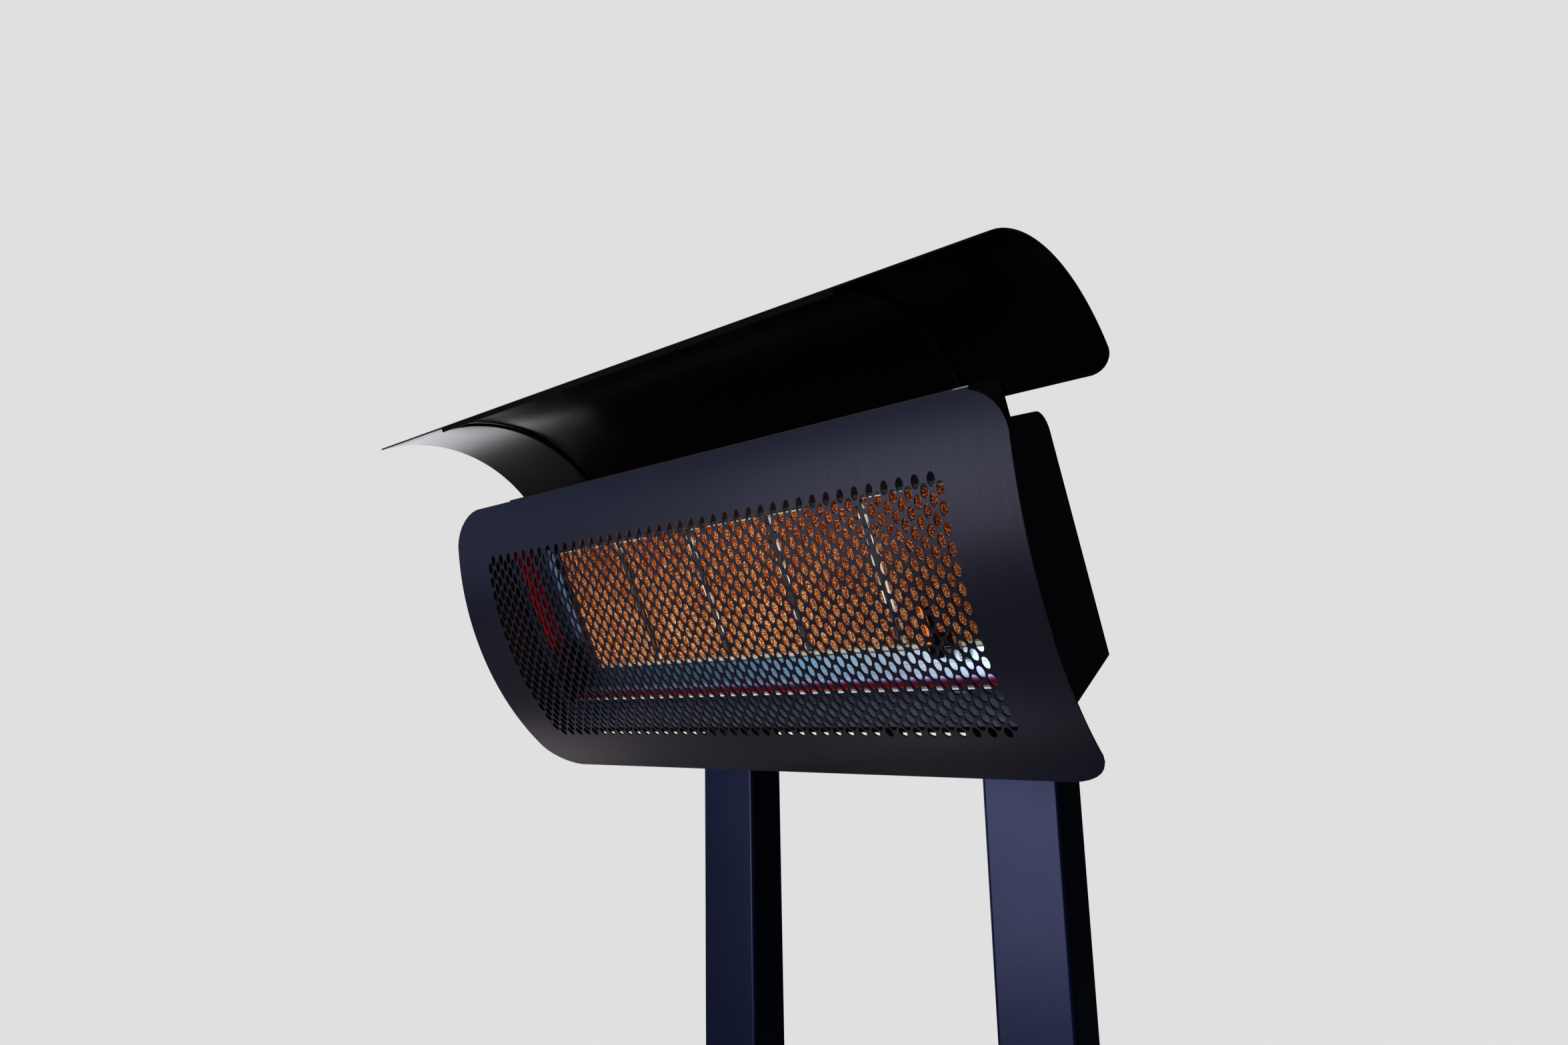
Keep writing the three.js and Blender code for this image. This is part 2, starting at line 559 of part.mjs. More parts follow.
// A stick through the bracket: its sleeve, the collar that rests on the shelf, and the tip.
function stickGeometry(way, sleeve, tip, tipRadius, collarSides) {
  const x = PILOT_X + way * STICK_OFFSET;
  return join([
    rod('z', STICK_RADIUS, PILOT_Z + sleeve[0], PILOT_Z + sleeve[1], x, PILOT_Y, 12),
    rod('z', STICK_COLLAR_RADIUS, PILOT_Z + SHEET + GAP, PILOT_Z + 8, x, PILOT_Y, collarSides),
    rod('z', tipRadius, PILOT_Z + tip[0], PILOT_Z + tip[1], x, PILOT_Y, 8),
  ]);
}
add('spark_electrode', stickGeometry(-1, [-8, 18], [-12, 40], 1.2, 12), porcelain, head);
add('thermocouple', stickGeometry(1, [-10, 10], [5, 34], 2.4, 6), zinc, head);

// ---- tilting joint between the head and the posts ----
const ROUND_END = Array.from({ length: 9 }, (_, i) => 90 + (180 * i) / 8);

for (const [side, sign] of SIDES) {
  const x = sign * POST_X;
  const lugHalf = LUG_THICK / 2;
  const hole = (radius) => rod('x', radius, x - 40, x + 40, 0, 0, 16);
  const plateFront = HOUSING_BACK_Y + GAP;
  const headPlate = box(x - BRACKET_WIDTH / 2, x + BRACKET_WIDTH / 2, plateFront, plateFront + EAR_THICK,
    -BRACKET_HEIGHT / 2, BRACKET_HEIGHT / 2);
  const lugRound = ROUND_END.map((angle) => arcPoint([0, 0], EAR_RADIUS, angle + 180));
  const lugOutline = [[plateFront, EAR_RADIUS], [plateFront, -EAR_RADIUS], ...lugRound];
  const lug = along(lugOutline, x - lugHalf, x + lugHalf);
  add(`head_bracket_${side}`, cut(join([headPlate, lug]), [hole(BOLT_RADIUS + RUNNING)]), paint, head);

  const plateBack = PIVOT_TO_POST - GAP;
  const postPlate = box(x - BRACKET_WIDTH / 2, x + BRACKET_WIDTH / 2, plateBack - EAR_THICK, plateBack,
    -BRACKET_HEIGHT / 2, POST_ABOVE_PIVOT - 2);
  const earRound = ROUND_END.map((angle) => arcPoint([0, 0], EAR_RADIUS, angle));
  const earOutline = [...earRound, [plateBack - 1, -EAR_RADIUS], [plateBack - 1, EAR_RADIUS]];
  const ears = [-1, 1].map((way) => {
    const near = x + way * (lugHalf + RUNNING + (way > 0 ? 0 : EAR_THICK));
    return along(earOutline, near, near + EAR_THICK);
  });
  const bracket = cut(join([postPlate, ...ears]), [hole(BOLT_RADIUS + GAP)]);
  add(`post_bracket_${side}`, bracket.translate(0, PIVOT_Y, PIVOT_HEIGHT), paint);

  const earFace = lugHalf + RUNNING + EAR_THICK;
  const [b0, b1] = between(sign, POST_X - earFace - GAP - 7, POST_X + earFace + 4);
  const [h0, h1] = between(sign, POST_X - earFace - GAP - 7, POST_X - earFace - GAP);
  add(`pivot_bolt_${side}`, join([
    rod('x', BOLT_RADIUS, b0, b1, PIVOT_Y, PIVOT_HEIGHT, 16),
    rod('x', 9, h0, h1, PIVOT_Y, PIVOT_HEIGHT, 6),
  ]), zinc);

  const knobNear = POST_X + earFace + RUNNING;
  const [k0, k1] = between(sign, knobNear, knobNear + KNOB_LENGTH);
  const grips = Array.from({ length: 7 }, (_, i) => {
    const [dy, dz] = arcPoint([0, 0], KNOB_RADIUS + 3, (360 * i) / 7);
    return rod('x', 6, k0 - 1, k1 + 1, PIVOT_Y + dy, PIVOT_HEIGHT + dz, 10);
  });
  const [s0, s1] = between(sign, knobNear - 1, POST_X + earFace + 4 + RUNNING);
  grips.push(rod('x', BOLT_RADIUS + GAP, s0, s1, PIVOT_Y, PIVOT_HEIGHT, 16));
  add(`tilt_knob_${side}`, cut(rod('x', KNOB_RADIUS, k0, k1, PIVOT_Y, PIVOT_HEIGHT, 28), grips), plastic);
}

// ---- posts ----
for (const [side, sign] of SIDES) {
  const x = sign * POST_X;
  const halfX = POST_WIDTH / 2;
  const halfY = POST_DEPTH / 2;
  const tube = (inset, z0, z1) => box(x - halfX + inset, x + halfX - inset,
    -halfY + inset, halfY - inset, z0, z1);
  const shell = cut(tube(0, POST_FOOT_Z, POST_TOP_Z), [tube(POST_WALL, 0, POST_TOP_Z + 50)]);
  const foot = box(x - halfX - FOOT_SIDE, x + halfX + FOOT_SIDE, -halfY, halfY + FOOT_BACK,
    POST_FOOT_Z, POST_FOOT_Z + FLANGE_PLATE);
  const bolts = [-1, 1].map((way) => rod('z', 8, POST_FOOT_Z + 1, POST_FOOT_Z + FLANGE_PLATE + 6,
    x + way * (halfX + 11), 0, 6));
  add(`post_${side}`, join([shell, foot, ...bolts]), postPaint);
  add(`post_cap_${side}`, join([
    tube(0, POST_TOP_Z + GAP, POST_TOP_Z + GAP + CAP_THICK),
    tube(POST_WALL + GAP, POST_TOP_Z - 15, POST_TOP_Z + GAP + 1),
  ]), plastic);
}

const barHalf = POST_X - POST_WIDTH / 2 - GAP;
function crossBarGeometry(z) {
  const outer = box(-barHalf, barHalf, -BAR_DEPTH / 2, BAR_DEPTH / 2, z - BAR_HEIGHT / 2, z + BAR_HEIGHT / 2);
  const inner = box(-barHalf - 5, barHalf + 5, -BAR_DEPTH / 2 + POST_WALL, BAR_DEPTH / 2 - POST_WALL,
    z - BAR_HEIGHT / 2 + POST_WALL, z + BAR_HEIGHT / 2 - POST_WALL);
  return cut(outer, [inner]);
}
add('cross_bar_upper', crossBarGeometry(PIVOT_HEIGHT - UPPER_BAR_BELOW_PIVOT), postPaint);
add('cross_bar_lower', crossBarGeometry(LOWER_BAR_HEIGHT), postPaint);

// ---- base ----
const AXLE_Z = WHEEL_RADIUS + WHEEL_LIFT;
const WHEEL_NEAR_X = BASE_WIDTH / 2 + 12;
function basePlateGeometry() {
  const plate = box(-BASE_WIDTH / 2, BASE_WIDTH / 2, BASE_FRONT_Y, BASE_BACK_Y, FOOT_HEIGHT, BASE_TOP_Z);
  const lugs = SIDES.map(([, sign]) => box(...between(sign, BASE_WIDTH / 2 - 12, BASE_WIDTH / 2 - 6),
    AXLE_Y - 22, AXLE_Y + 22, BASE_TOP_Z - 1, AXLE_Z + 16));
  const hole = rod('x', AXLE_RADIUS + GAP, -BASE_WIDTH, BASE_WIDTH, AXLE_Y, AXLE_Z, 16);
  return cut(join([plate, ...lugs]), [hole]);
}
add('base_plate', basePlateGeometry(), paint);

for (const [side, sign] of SIDES) {
  for (const [end, y] of [['front', BASE_FRONT_Y + FOOT_INSET], ['rear', BASE_BACK_Y - FOOT_INSET]]) {
    const foot = new THREE.CylinderGeometry(FOOT_RADIUS - 3, FOOT_RADIUS, FOOT_HEIGHT - GAP, 20);
    foot.rotateX(Math.PI / 2).translate(sign * (BASE_WIDTH / 2 - FOOT_INSET), y, (FOOT_HEIGHT - GAP) / 2);
    add(`foot_${end}_${side}`, foot, rubber);
  }
}

// Axle with a collar outside each wheel.
const axleEnd = WHEEL_NEAR_X + WHEEL_WIDTH + 8;
add('axle', join([
  rod('x', AXLE_RADIUS, -axleEnd, axleEnd, AXLE_Y, AXLE_Z, 16),
  ...SIDES.map(([, sign]) => rod('x', 11, ...between(sign, axleEnd - 7, axleEnd - 1), AXLE_Y, AXLE_Z, 16)),
]), zinc);

function wheelGeometry(sign) {
  const r = WHEEL_RADIUS;
  const bore = AXLE_RADIUS + RUNNING;
  const w = WHEEL_WIDTH / 2;
  const tyre = [[r, w - 11], [r - 5, w - 3], [r - 20, w - 1], [r - 24, w - 12]];
  const upper = [...tyre, [24, w - 12], [22, w], [bore, w]];
  const lower = upper.map(([radius, h]) => [radius, -h]).reverse();
  const profile = [...lower, ...upper, lower[0]].map(([radius, h]) => new THREE.Vector2(radius, h));
  const geometry = new THREE.LatheGeometry(profile, 28);
  return geometry.rotateZ(Math.PI / 2).translate(sign * (WHEEL_NEAR_X + w), AXLE_Y, AXLE_Z);
}

for (const [side, sign] of SIDES) add(`wheel_${side}`, wheelGeometry(sign), rubber);

// ---- bottle cabinet ----
const CABINET_HALF = CABINET_WIDTH / 2;
function cabinetGeometry() {
  const outer = box(-CABINET_HALF, CABINET_HALF, CABINET_FRONT_Y, CABINET_BACK_Y,
    CABINET_BOTTOM_Z, CABINET_TOP_Z);
  const inner = box(-CABINET_HALF + SHEET, CABINET_HALF - SHEET, CABINET_FRONT_Y - 5, CABINET_BACK_Y - SHEET,
    CABINET_BOTTOM_Z - 5, CABINET_TOP_Z + 5);
  return cut(outer, [inner]);
}
add('cabinet_shell', cabinetGeometry(), paint);

const deckHoles = [
  rod('z', STEM_RADIUS + 1, DECK_BOTTOM_Z - 5, DECK_TOP_Z + 5, GAS_KNOB_X, CONTROL_Y, 16),
  rod('z', BUTTON_RADIUS + RUNNING, DECK_BOTTOM_Z - 5, DECK_TOP_Z + 5, BUTTON_X, CONTROL_Y, 20),
];
add('cabinet_deck', cut(box(-CABINET_HALF, CABINET_HALF, CABINET_FRONT_Y, CABINET_BACK_Y,
  DECK_BOTTOM_Z, DECK_TOP_Z), deckHoles), paint);

const DOOR_BACK_Y = CABINET_FRONT_Y - 2;
const DOOR_FRONT_Y = DOOR_BACK_Y - DOOR_THICK;
const DOOR_BOTTOM_Z = CABINET_BOTTOM_Z + 4;
const DOOR_TOP_Z = CABINET_TOP_Z - 3;
const PIN_X = -CABINET_HALF - 8;
const PIN_Y = CABINET_FRONT_Y - 1;
const HINGE_HEIGHTS = [['lower', DOOR_BOTTOM_Z + 100], ['upper', DOOR_TOP_Z - 100]];
const LATCH_X = CABINET_HALF - 30;
const LATCH_Z = (DOOR_BOTTOM_Z + DOOR_TOP_Z) / 2;
const LATCH_SHAFT = 5;

function doorGeometry() {
  const half = CABINET_HALF - 1;
  const slab = box(-half, half, DOOR_FRONT_Y, DOOR_BACK_Y, DOOR_BOTTOM_Z, DOOR_TOP_Z);
  const tools = [box(-half + SHEET, half - SHEET, DOOR_FRONT_Y + SHEET, DOOR_BACK_Y + 5,
    DOOR_BOTTOM_Z + SHEET, DOOR_TOP_Z - SHEET)];
  for (let i = 0; i < DOOR_SLOTS; i += 1) {
    const z = DOOR_BOTTOM_Z + 60 + 20 * i;
    tools.push(box(-half * 0.6, half * 0.6, DOOR_FRONT_Y - 5, DOOR_FRONT_Y + 5, z, z + 7));
  }
  tools.push(rod('y', LATCH_SHAFT + RUNNING, DOOR_FRONT_Y - 5, DOOR_FRONT_Y + 5, LATCH_X, LATCH_Z, 16));
  let door = cut(slab, tools);
  for (const [, z] of HINGE_HEIGHTS) {
    const z0 = z - KNUCKLE_HEIGHT / 2;
    const z1 = z + KNUCKLE_HEIGHT / 2;
    const arm = box(PIN_X, -half + 1, PIN_Y - KNUCKLE_RADIUS, PIN_Y - KNUCKLE_RADIUS + SHEET, z0, z1);
    const knuckle = rod('z', KNUCKLE_RADIUS, z0, z1, PIN_X, PIN_Y, 16);
    const bore = rod('z', HINGE_PIN_RADIUS + RUNNING, z0 - 5, z1 + 5, PIN_X, PIN_Y, 16);
    door = cut(join([door, arm, knuckle]), [bore]);
  }
  return door;
}
add('cabinet_door', doorGeometry(), paint);

// Fixed hinge halves: a leaf on the cabinet's side, two knuckles and the pin.
for (const [level, z] of HINGE_HEIGHTS) {
  const reach = KNUCKLE_HEIGHT / 2 + RUNNING;
  const total = reach + 16;
  const leafX = -CABINET_HALF - GAP;
  const pieces = [
    box(leafX - SHEET, leafX, PIN_Y + KNUCKLE_RADIUS + 4, PIN_Y + 40, z - total, z + total),
    rod('z', HINGE_PIN_RADIUS, z - total, z + total, PIN_X, PIN_Y, 16),
  ];
  for (const [z0, z1] of [[z - total, z - reach], [z + reach, z + total]]) {
    const armY = PIN_Y + KNUCKLE_RADIUS - SHEET;
    pieces.push(rod('z', KNUCKLE_RADIUS, z0, z1, PIN_X, PIN_Y, 16));
    pieces.push(box(PIN_X - 1, leafX, armY, armY + SHEET, z0, z1));
    pieces.push(box(leafX - SHEET, leafX, armY, armY + SHEET + 5, z0, z1));
  }
  add(`door_hinge_${level}`, join(pieces), zinc);
}

// Quarter-turn latch: a round knob with a bar in front, a shaft through the door and a cam behind it.
const latchFace = DOOR_FRONT_Y - RUNNING;
const camY = DOOR_FRONT_Y + SHEET + RUNNING;
add('door_latch', join([
  rod('y', 14, latchFace - 5, latchFace, LATCH_X, LATCH_Z, 24),
  box(LATCH_X - 4, LATCH_X + 4, latchFace - 15, latchFace - 4, LATCH_Z - 16, LATCH_Z + 16),
  rod('y', LATCH_SHAFT, latchFace - 1, camY + 4, LATCH_X, LATCH_Z, 16),
  box(LATCH_X - 7, LATCH_X + 22, camY, camY + 3, LATCH_Z - 6, LATCH_Z + 6),
]), zinc);

// ---- controls on the deck ----
function valveGeometry() {
  const top = DECK_BOTTOM_Z - GAP;
  const stemTop = DECK_TOP_Z + RUNNING;
  return join([
    box(GAS_KNOB_X - 26, GAS_KNOB_X + 26, CONTROL_Y - 20, CONTROL_Y + 20, top - 40, top),
    rod('z', STEM_RADIUS, top - 1, stemTop, GAS_KNOB_X, CONTROL_Y, 12),
    rod('y', 8, CONTROL_Y + 19, CONTROL_Y + 44, GAS_KNOB_X - 12, top - 20, 12),
    rod('z', 8, top - 62, top - 39, GAS_KNOB_X + 12, CONTROL_Y, 12),
  ]);
}
add('gas_valve', valveGeometry(), brass);

const knobBase = DECK_TOP_Z + 2 * RUNNING;
const knobBody = rod('z', GAS_KNOB_RADIUS, knobBase, knobBase + GAS_KNOB_HEIGHT / 2,
  GAS_KNOB_X, CONTROL_Y, 28);
const knobGrip = box(GAS_KNOB_X - 5, GAS_KNOB_X + 5, CONTROL_Y - GAS_KNOB_RADIUS + 1,
  CONTROL_Y + GAS_KNOB_RADIUS - 1, knobBase + 5, knobBase + GAS_KNOB_HEIGHT);
add('gas_knob', join([knobBody, knobGrip]), plastic);

const bezelTop = DECK_TOP_Z + GAP + 4;
add('igniter_bezel', ring('z', BUTTON_RADIUS + 5, BUTTON_RADIUS + RUNNING, DECK_TOP_Z + GAP, bezelTop,
  BUTTON_X, CONTROL_Y, 24), plastic);
const BUTTON_BOTTOM_Z = DECK_BOTTOM_Z - 6;
const buttonTop = bezelTop + BUTTON_TRAVEL + 1;
add('igniter_button', rod('z', BUTTON_RADIUS, BUTTON_BOTTOM_Z, buttonTop, BUTTON_X, CONTROL_Y, 24), plastic);
const moduleTop = DECK_BOTTOM_Z - GAP;
const moduleFloor = BUTTON_BOTTOM_Z - BUTTON_TRAVEL - RUNNING;
add('igniter_module', cut(rod('z', MODULE_RADIUS, moduleTop - 60, moduleTop, BUTTON_X, CONTROL_Y, 24), [
  rod('z', BUTTON_RADIUS + RUNNING, moduleFloor, moduleTop + 5, BUTTON_X, CONTROL_Y, 24)]), plastic);

// The floor under the middle of the tower is the origin.
const bounds = new THREE.Box3().setFromObject(tower, true);
tower.position.y = -(bounds.min.y + bounds.max.y) / 2;

export default tower;
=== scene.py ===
import json
import math

import bmesh
import bpy
from mathutils import Matrix, Vector


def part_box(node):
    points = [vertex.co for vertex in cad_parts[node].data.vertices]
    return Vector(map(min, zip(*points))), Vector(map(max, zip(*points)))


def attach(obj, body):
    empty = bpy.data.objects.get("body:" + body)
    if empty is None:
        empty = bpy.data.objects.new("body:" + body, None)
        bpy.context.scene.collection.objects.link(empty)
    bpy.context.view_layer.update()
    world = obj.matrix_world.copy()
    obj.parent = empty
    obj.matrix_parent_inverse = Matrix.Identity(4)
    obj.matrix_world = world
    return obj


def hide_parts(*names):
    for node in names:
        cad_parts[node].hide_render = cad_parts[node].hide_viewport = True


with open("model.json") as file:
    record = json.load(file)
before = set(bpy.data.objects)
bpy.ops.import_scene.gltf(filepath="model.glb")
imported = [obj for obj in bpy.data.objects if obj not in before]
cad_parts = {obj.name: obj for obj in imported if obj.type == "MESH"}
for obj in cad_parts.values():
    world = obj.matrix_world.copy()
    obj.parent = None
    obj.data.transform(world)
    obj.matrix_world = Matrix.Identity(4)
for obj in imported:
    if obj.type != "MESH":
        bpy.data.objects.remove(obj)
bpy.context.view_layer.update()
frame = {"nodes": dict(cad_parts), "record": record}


# ---- Camera ------------------------------------------------------------------
# A wide lens stands low on the right front side of the head and looks slightly upwards.
# It is placed by metres from the middle of the screen's top row of holes.
JOINTS = {joint["name"]: joint for joint in frame["record"]["behaviour"]["joints"]}
PIVOT = Vector(JOINTS["head_tilt"]["pos_m"])
HEAD_TILT = math.radians(26.9)
TOP_ROW = Vector((0, PIVOT.y - 0.2350, PIVOT.z + 0.0445))
CAMERA_OFFSET = Vector((0.5635, -0.5472, -0.1483))
CAMERA_TURN = math.radians(38.82)
CAMERA_PITCH = math.radians(10.98)
CAMERA_ROLL = math.radians(-1.19)
LENS_MM = 21.46

scene = bpy.context.scene
camera_data = bpy.data.cameras.new("camera")
camera_data.lens = LENS_MM
camera_data.sensor_width = 36
camera_data.clip_end = 200
camera = bpy.data.objects.new("camera", camera_data)
scene.collection.objects.link(camera)
camera.matrix_world = (
    Matrix.Translation(TOP_ROW + CAMERA_OFFSET)
    @ Matrix.Rotation(CAMERA_TURN, 4, "Z")
    @ Matrix.Rotation(math.pi / 2 + CAMERA_PITCH, 4, "X")
    @ Matrix.Rotation(CAMERA_ROLL, 4, "Z")
)
scene.camera = camera


# ---- Floor and studio light --------------------------------------------------
# A wide pale floor under a plain light-grey surround, with large soft lights.
def linear(hex_colour):
    """Turns an sRGB colour such as "#2e313d" into linear red, green, blue and 1."""
    channels = [int(hex_colour[i:i + 2], 16) / 255 for i in (1, 3, 5)]
    return tuple(c / 12.92 if c <= 0.04045 else ((c + 0.055) / 1.055) ** 2.4 for c in channels) + (1.0,)


def set_up(tree, node, settings=None, links=None):
    """Sets up a node. A setting or link goes to the input of that name or number, or to a property, and a
    link comes from another node's first output or from the socket given. The setting "stops" gives the
    places and colours of a colour ramp, the first place being 0 and the last 1."""
    for name, value in (settings or {}).items():
        if isinstance(name, int) or name in node.inputs:
            node.inputs[name].default_value = value
        elif name == "stops":
            ends = node.color_ramp.elements
            ends[0].color, ends[1].color = linear(value[0][1]), linear(value[-1][1])
            for position, colour in value[1:-1]:
                ends.new(position).color = linear(colour)
        else:
            setattr(node, name, value)
    for name, source in (links or {}).items():
        socket = source.outputs[0] if isinstance(source, bpy.types.Node) else source
        tree.links.new(socket, node.inputs[name])


def add_node(tree, kind, settings=None, links=None):
    """Adds a shader node with its settings and links."""
    node = tree.nodes.new("ShaderNode" + kind)
    set_up(tree, node, settings, links)
    return node


BACKGROUND = "#e0e0e0"
FLOOR_SIZE = 60.0

scene.view_settings.view_transform = "Standard"
world = bpy.data.worlds.new("studio")
scene.world = world
world.use_nodes = True
world.node_tree.nodes.clear()
tree = world.node_tree
backdrop = add_node(tree, "Background", {"Color": linear(BACKGROUND), "Strength": 1.0})
room = add_node(tree, "Background", {"Color": linear("#bcd2ea"), "Strength": 0.03})
rays = add_node(tree, "LightPath")
either = add_node(tree, "MixShader", {}, {0: rays.outputs["Is Camera Ray"], 1: room, 2: backdrop})
add_node(tree, "OutputWorld", {}, {"Surface": either})

# Matt white paper: it looks as bright as the backdrop, and takes soft shadows.
white_paper = bpy.data.materials.new("white_paper")
white_paper.use_nodes = True
tree = white_paper.node_tree
tree.nodes.clear()
rays = add_node(tree, "LightPath")
paper = add_node(tree, "BsdfDiffuse", {"Color": linear("#a8a8a8")})
lit = add_node(tree, "Emission", {"Color": linear("#dfdfdf")}, {"Strength": rays.outputs["Is Camera Ray"]})
both = add_node(tree, "AddShader", {}, {0: paper, 1: lit})
add_node(tree, "OutputMaterial", {}, {"Surface": both})

floor_bm = bmesh.new()
bmesh.ops.create_grid(floor_bm, x_segments=1, y_segments=1, size=FLOOR_SIZE / 2)
floor_mesh = bpy.data.meshes.new("floor")
floor_bm.to_mesh(floor_mesh)
floor_bm.free()
floor_mesh.materials.append(white_paper)
floor = bpy.data.objects.new("floor", floor_mesh)
scene.collection.objects.link(floor)

# Place, square side in metres, watts and colour of each light; all of them face the head. Those with a
# collection light only its pieces, as black cards round a lamp would make them do.
HEAD_MIDDLE = Vector((0, PIVOT.y - 0.15, PIVOT.z))
screen_only = bpy.data.collections.new("screen_only")
posts_only = bpy.data.collections.new("posts_only")
behind_screen = bpy.data.collections.new("behind_screen")
low_pieces = bpy.data.collections.new("low_pieces")
for name, place, size, watts, colour, receivers in (
        ("key_light", (-0.8, -2.35, 1.85), 1.5, 20, "#f2f0ff", None),
        ("front_left_light", (-2.7, -2.0, 2.4), 1.5, 4, "#b4c4ea", None),
        ("left_light", (-3.1, 0.9, 1.85), 1.6, 16, "#faf6fc", None),
        ("back_light", (-2.4, 3.0, 2.8), 1.8, 30, "#ffffff", None),
        ("lower_left_light", (-1.7, -1.4, 0.75), 1.2, 1.2, "#fbf4f6", screen_only),
        ("left_floor_light", (-2.9, 0.6, 0.45), 1.0, 3, "#fcecf4", screen_only),
        ("middle_floor_light", (-0.7, 0.0, 0.3), 0.6, 1.0, "#e8e4fc", screen_only),
        ("post_light", (-0.38, -1.2, 0.22), 0.45, 12, "#98b4ff", posts_only),
        ("inner_light", (0.4, -2.2, 2.0), 0.8, 25, "#c4d4f0", behind_screen),
        ("flat_light", (-0.8, -2.4, 2.45), 1.0, 22, "#f4fbff", behind_screen),
        ("hem_light", (-1.25, -1.1, 0.75), 1.4, 26, "#ffffff", behind_screen),
        ("right_light", (2.3, -1.9, 1.3), 1.6, 45, "#f2f4ff", low_pieces),
        ("right_back_light", (2.0, 2.2, 1.2), 1.6, 25, "#f2f4ff", low_pieces)):
    light_data = bpy.data.lights.new(name, "AREA")
    light_data.size = size
    light_data.energy = watts
    light_data.color = linear(colour)[:3]
    light = bpy.data.objects.new(name, light_data)
    scene.collection.objects.link(light)
    aim = (HEAD_MIDDLE - Vector(place)).to_track_quat("-Z", "Y")
    light.matrix_world = Matrix.Translation(place) @ aim.to_matrix().to_4x4()
    light.visible_camera = False
    if receivers:
        light.light_linking.receiver_collection = receivers


# ---- Front screen ------------------------------------------------------------
# A steel sheet rolled to one radius, with small upright oval holes in staggered rows and round corners.
# It is made flat from one cell to each hole, trimmed, rolled and given its thickness.
HOLE_PITCH = 12.7
ROW_PITCH = 7.06
HOLE_WIDTH = 6.3
HOLE_HEIGHT = 10.7
HOLE_ROWS = 29
HOLES_IN_ROW = 41
SCREEN_WIDTH = 628.7
SCREEN_LENGTH = 314.4
SCREEN_RADIUS = 312.0
SCREEN_OUTSIDE = SCREEN_RADIUS + 0.8
SCREEN_CENTRE = Vector((0, 109.5, 57.2))
SCREEN_TOP_ANGLE = math.radians(153.1)
SCREEN_CORNER = 38.0
SCREEN_THICK = 1.4
TOP_MARGIN = 56.3
SPARE_ROWS = 9
SPARE_COLUMNS = 5
RIM_PARTS = 3
CORNER_CUTS = 8

# The head's own frame is millimetres from its pivot, with the tiles upright in it.
MILLIMETRES = Matrix.Scale(0.001, 4)
HEAD_PLACE = Matrix.Translation(PIVOT) @ Matrix.Rotation(HEAD_TILT, 4, "X") @ MILLIMETRES


def new_material(name):
    """A material of one Principled shader. Returns it, its nodes, the shader and the object coordinates."""
    material = bpy.data.materials.new(name)
    material.use_nodes = True
    tree = material.node_tree
    tree.nodes.clear()
    shader = add_node(tree, "BsdfPrincipled")
    add_node(tree, "OutputMaterial", {}, {"Surface": shader})
    return material, tree, shader, add_node(tree, "TexCoord").outputs["Object"]


def head_millimetres(tree, place):
    """Object coordinates turned into the head's own frame, in millimetres."""
    return add_node(tree, "Mapping", {
        "vector_type": "TEXTURE", "Location": PIVOT, "Rotation": (HEAD_TILT, 0, 0),
        "Scale": (0.001, 0.001, 0.001)}, {"Vector": place}).outputs[0]


def corner_normals(bm, sharp):
    """Face corner normals weighted by face area, so that flat faces stay flat beside rounded edges."""
    bm.normal_update()
    areas = {face: face.calc_area() for face in bm.faces}
    limit = math.cos(math.radians(sharp))
    normals = []
    for face in bm.faces:
        for vert in face.verts:
            near = [other for other in vert.link_faces if other.normal.dot(face.normal) > limit]
            total = sum((other.normal * areas[other] for other in near), Vector())
            normals.append(total.normalized() if total.length > 0 else face.normal.copy())
    return normals


def make_piece(bm, name, body, material, replaced=(), place=HEAD_PLACE, sharp=35):
    """Turns a bmesh into a piece in the scene that rides on a body and stands for the CAD nodes given."""
    bm.transform(place)
    for face in bm.faces:
        face.smooth = True
    normals = corner_normals(bm, sharp)
    mesh = bpy.data.meshes.new(name)
    bm.to_mesh(mesh)
    bm.free()
    mesh.set_sharp_from_angle(angle=math.radians(sharp))
    mesh.normals_split_custom_set(normals)
    materials = material if isinstance(material, list) else [material]
    for one in materials:
        mesh.materials.append(one)
    piece = bpy.data.objects.new(name, mesh)
    scene.collection.objects.link(piece)
    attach(piece, body)
    if replaced:
        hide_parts(*replaced)
    return piece


def rolled(bm, centre, radius, start_angle):
    """Rolls a flat sheet round the X axis: x stays, y is the length along the arc from its start."""
    for vert in bm.verts:
        angle = start_angle + vert.co.y / radius
        reach = radius + vert.co.z
        vert.co = centre + Vector((vert.co.x, reach * math.cos(angle), reach * math.sin(angle)))


def trim(bm, spot, normal):
    """Cuts everything off that lies past a plane."""
    bmesh.ops.bisect_plane(bm, geom=bm.verts[:] + bm.edges[:] + bm.faces[:], dist=1e-4,
                           plane_co=spot, plane_no=normal, clear_outer=True)


def round_off(bm, half_width, length, first_radius, last_radius):
    """Trims a flat sheet to a rectangle, then cuts its corners round with short straight cuts."""
    trim(bm, (half_width, 0, 0), (1, 0, 0))
    trim(bm, (-half_width, 0, 0), (-1, 0, 0))
    trim(bm, (0, length, 0), (0, 1, 0))
    trim(bm, (0, 0, 0), (0, -1, 0))
    for side in (-1, 1):
        for end, y, radius in ((-1, first_radius, first_radius), (1, length - last_radius, last_radius)):
            for i in range(1, CORNER_CUTS):
                angle = math.pi / 2 * i / CORNER_CUTS
                normal = Vector((side * math.cos(angle), end * math.sin(angle), 0))
                trim(bm, Vector((side * (half_width - radius), y, 0)) + normal * radius, normal)


def thicken(bm, thickness):
    """Gives an open sheet its thickness."""
    bmesh.ops.recalc_face_normals(bm, faces=bm.faces)
    bmesh.ops.solidify(bm, geom=bm.faces[:], thickness=thickness)
    bmesh.ops.recalc_face_normals(bm, faces=bm.faces)


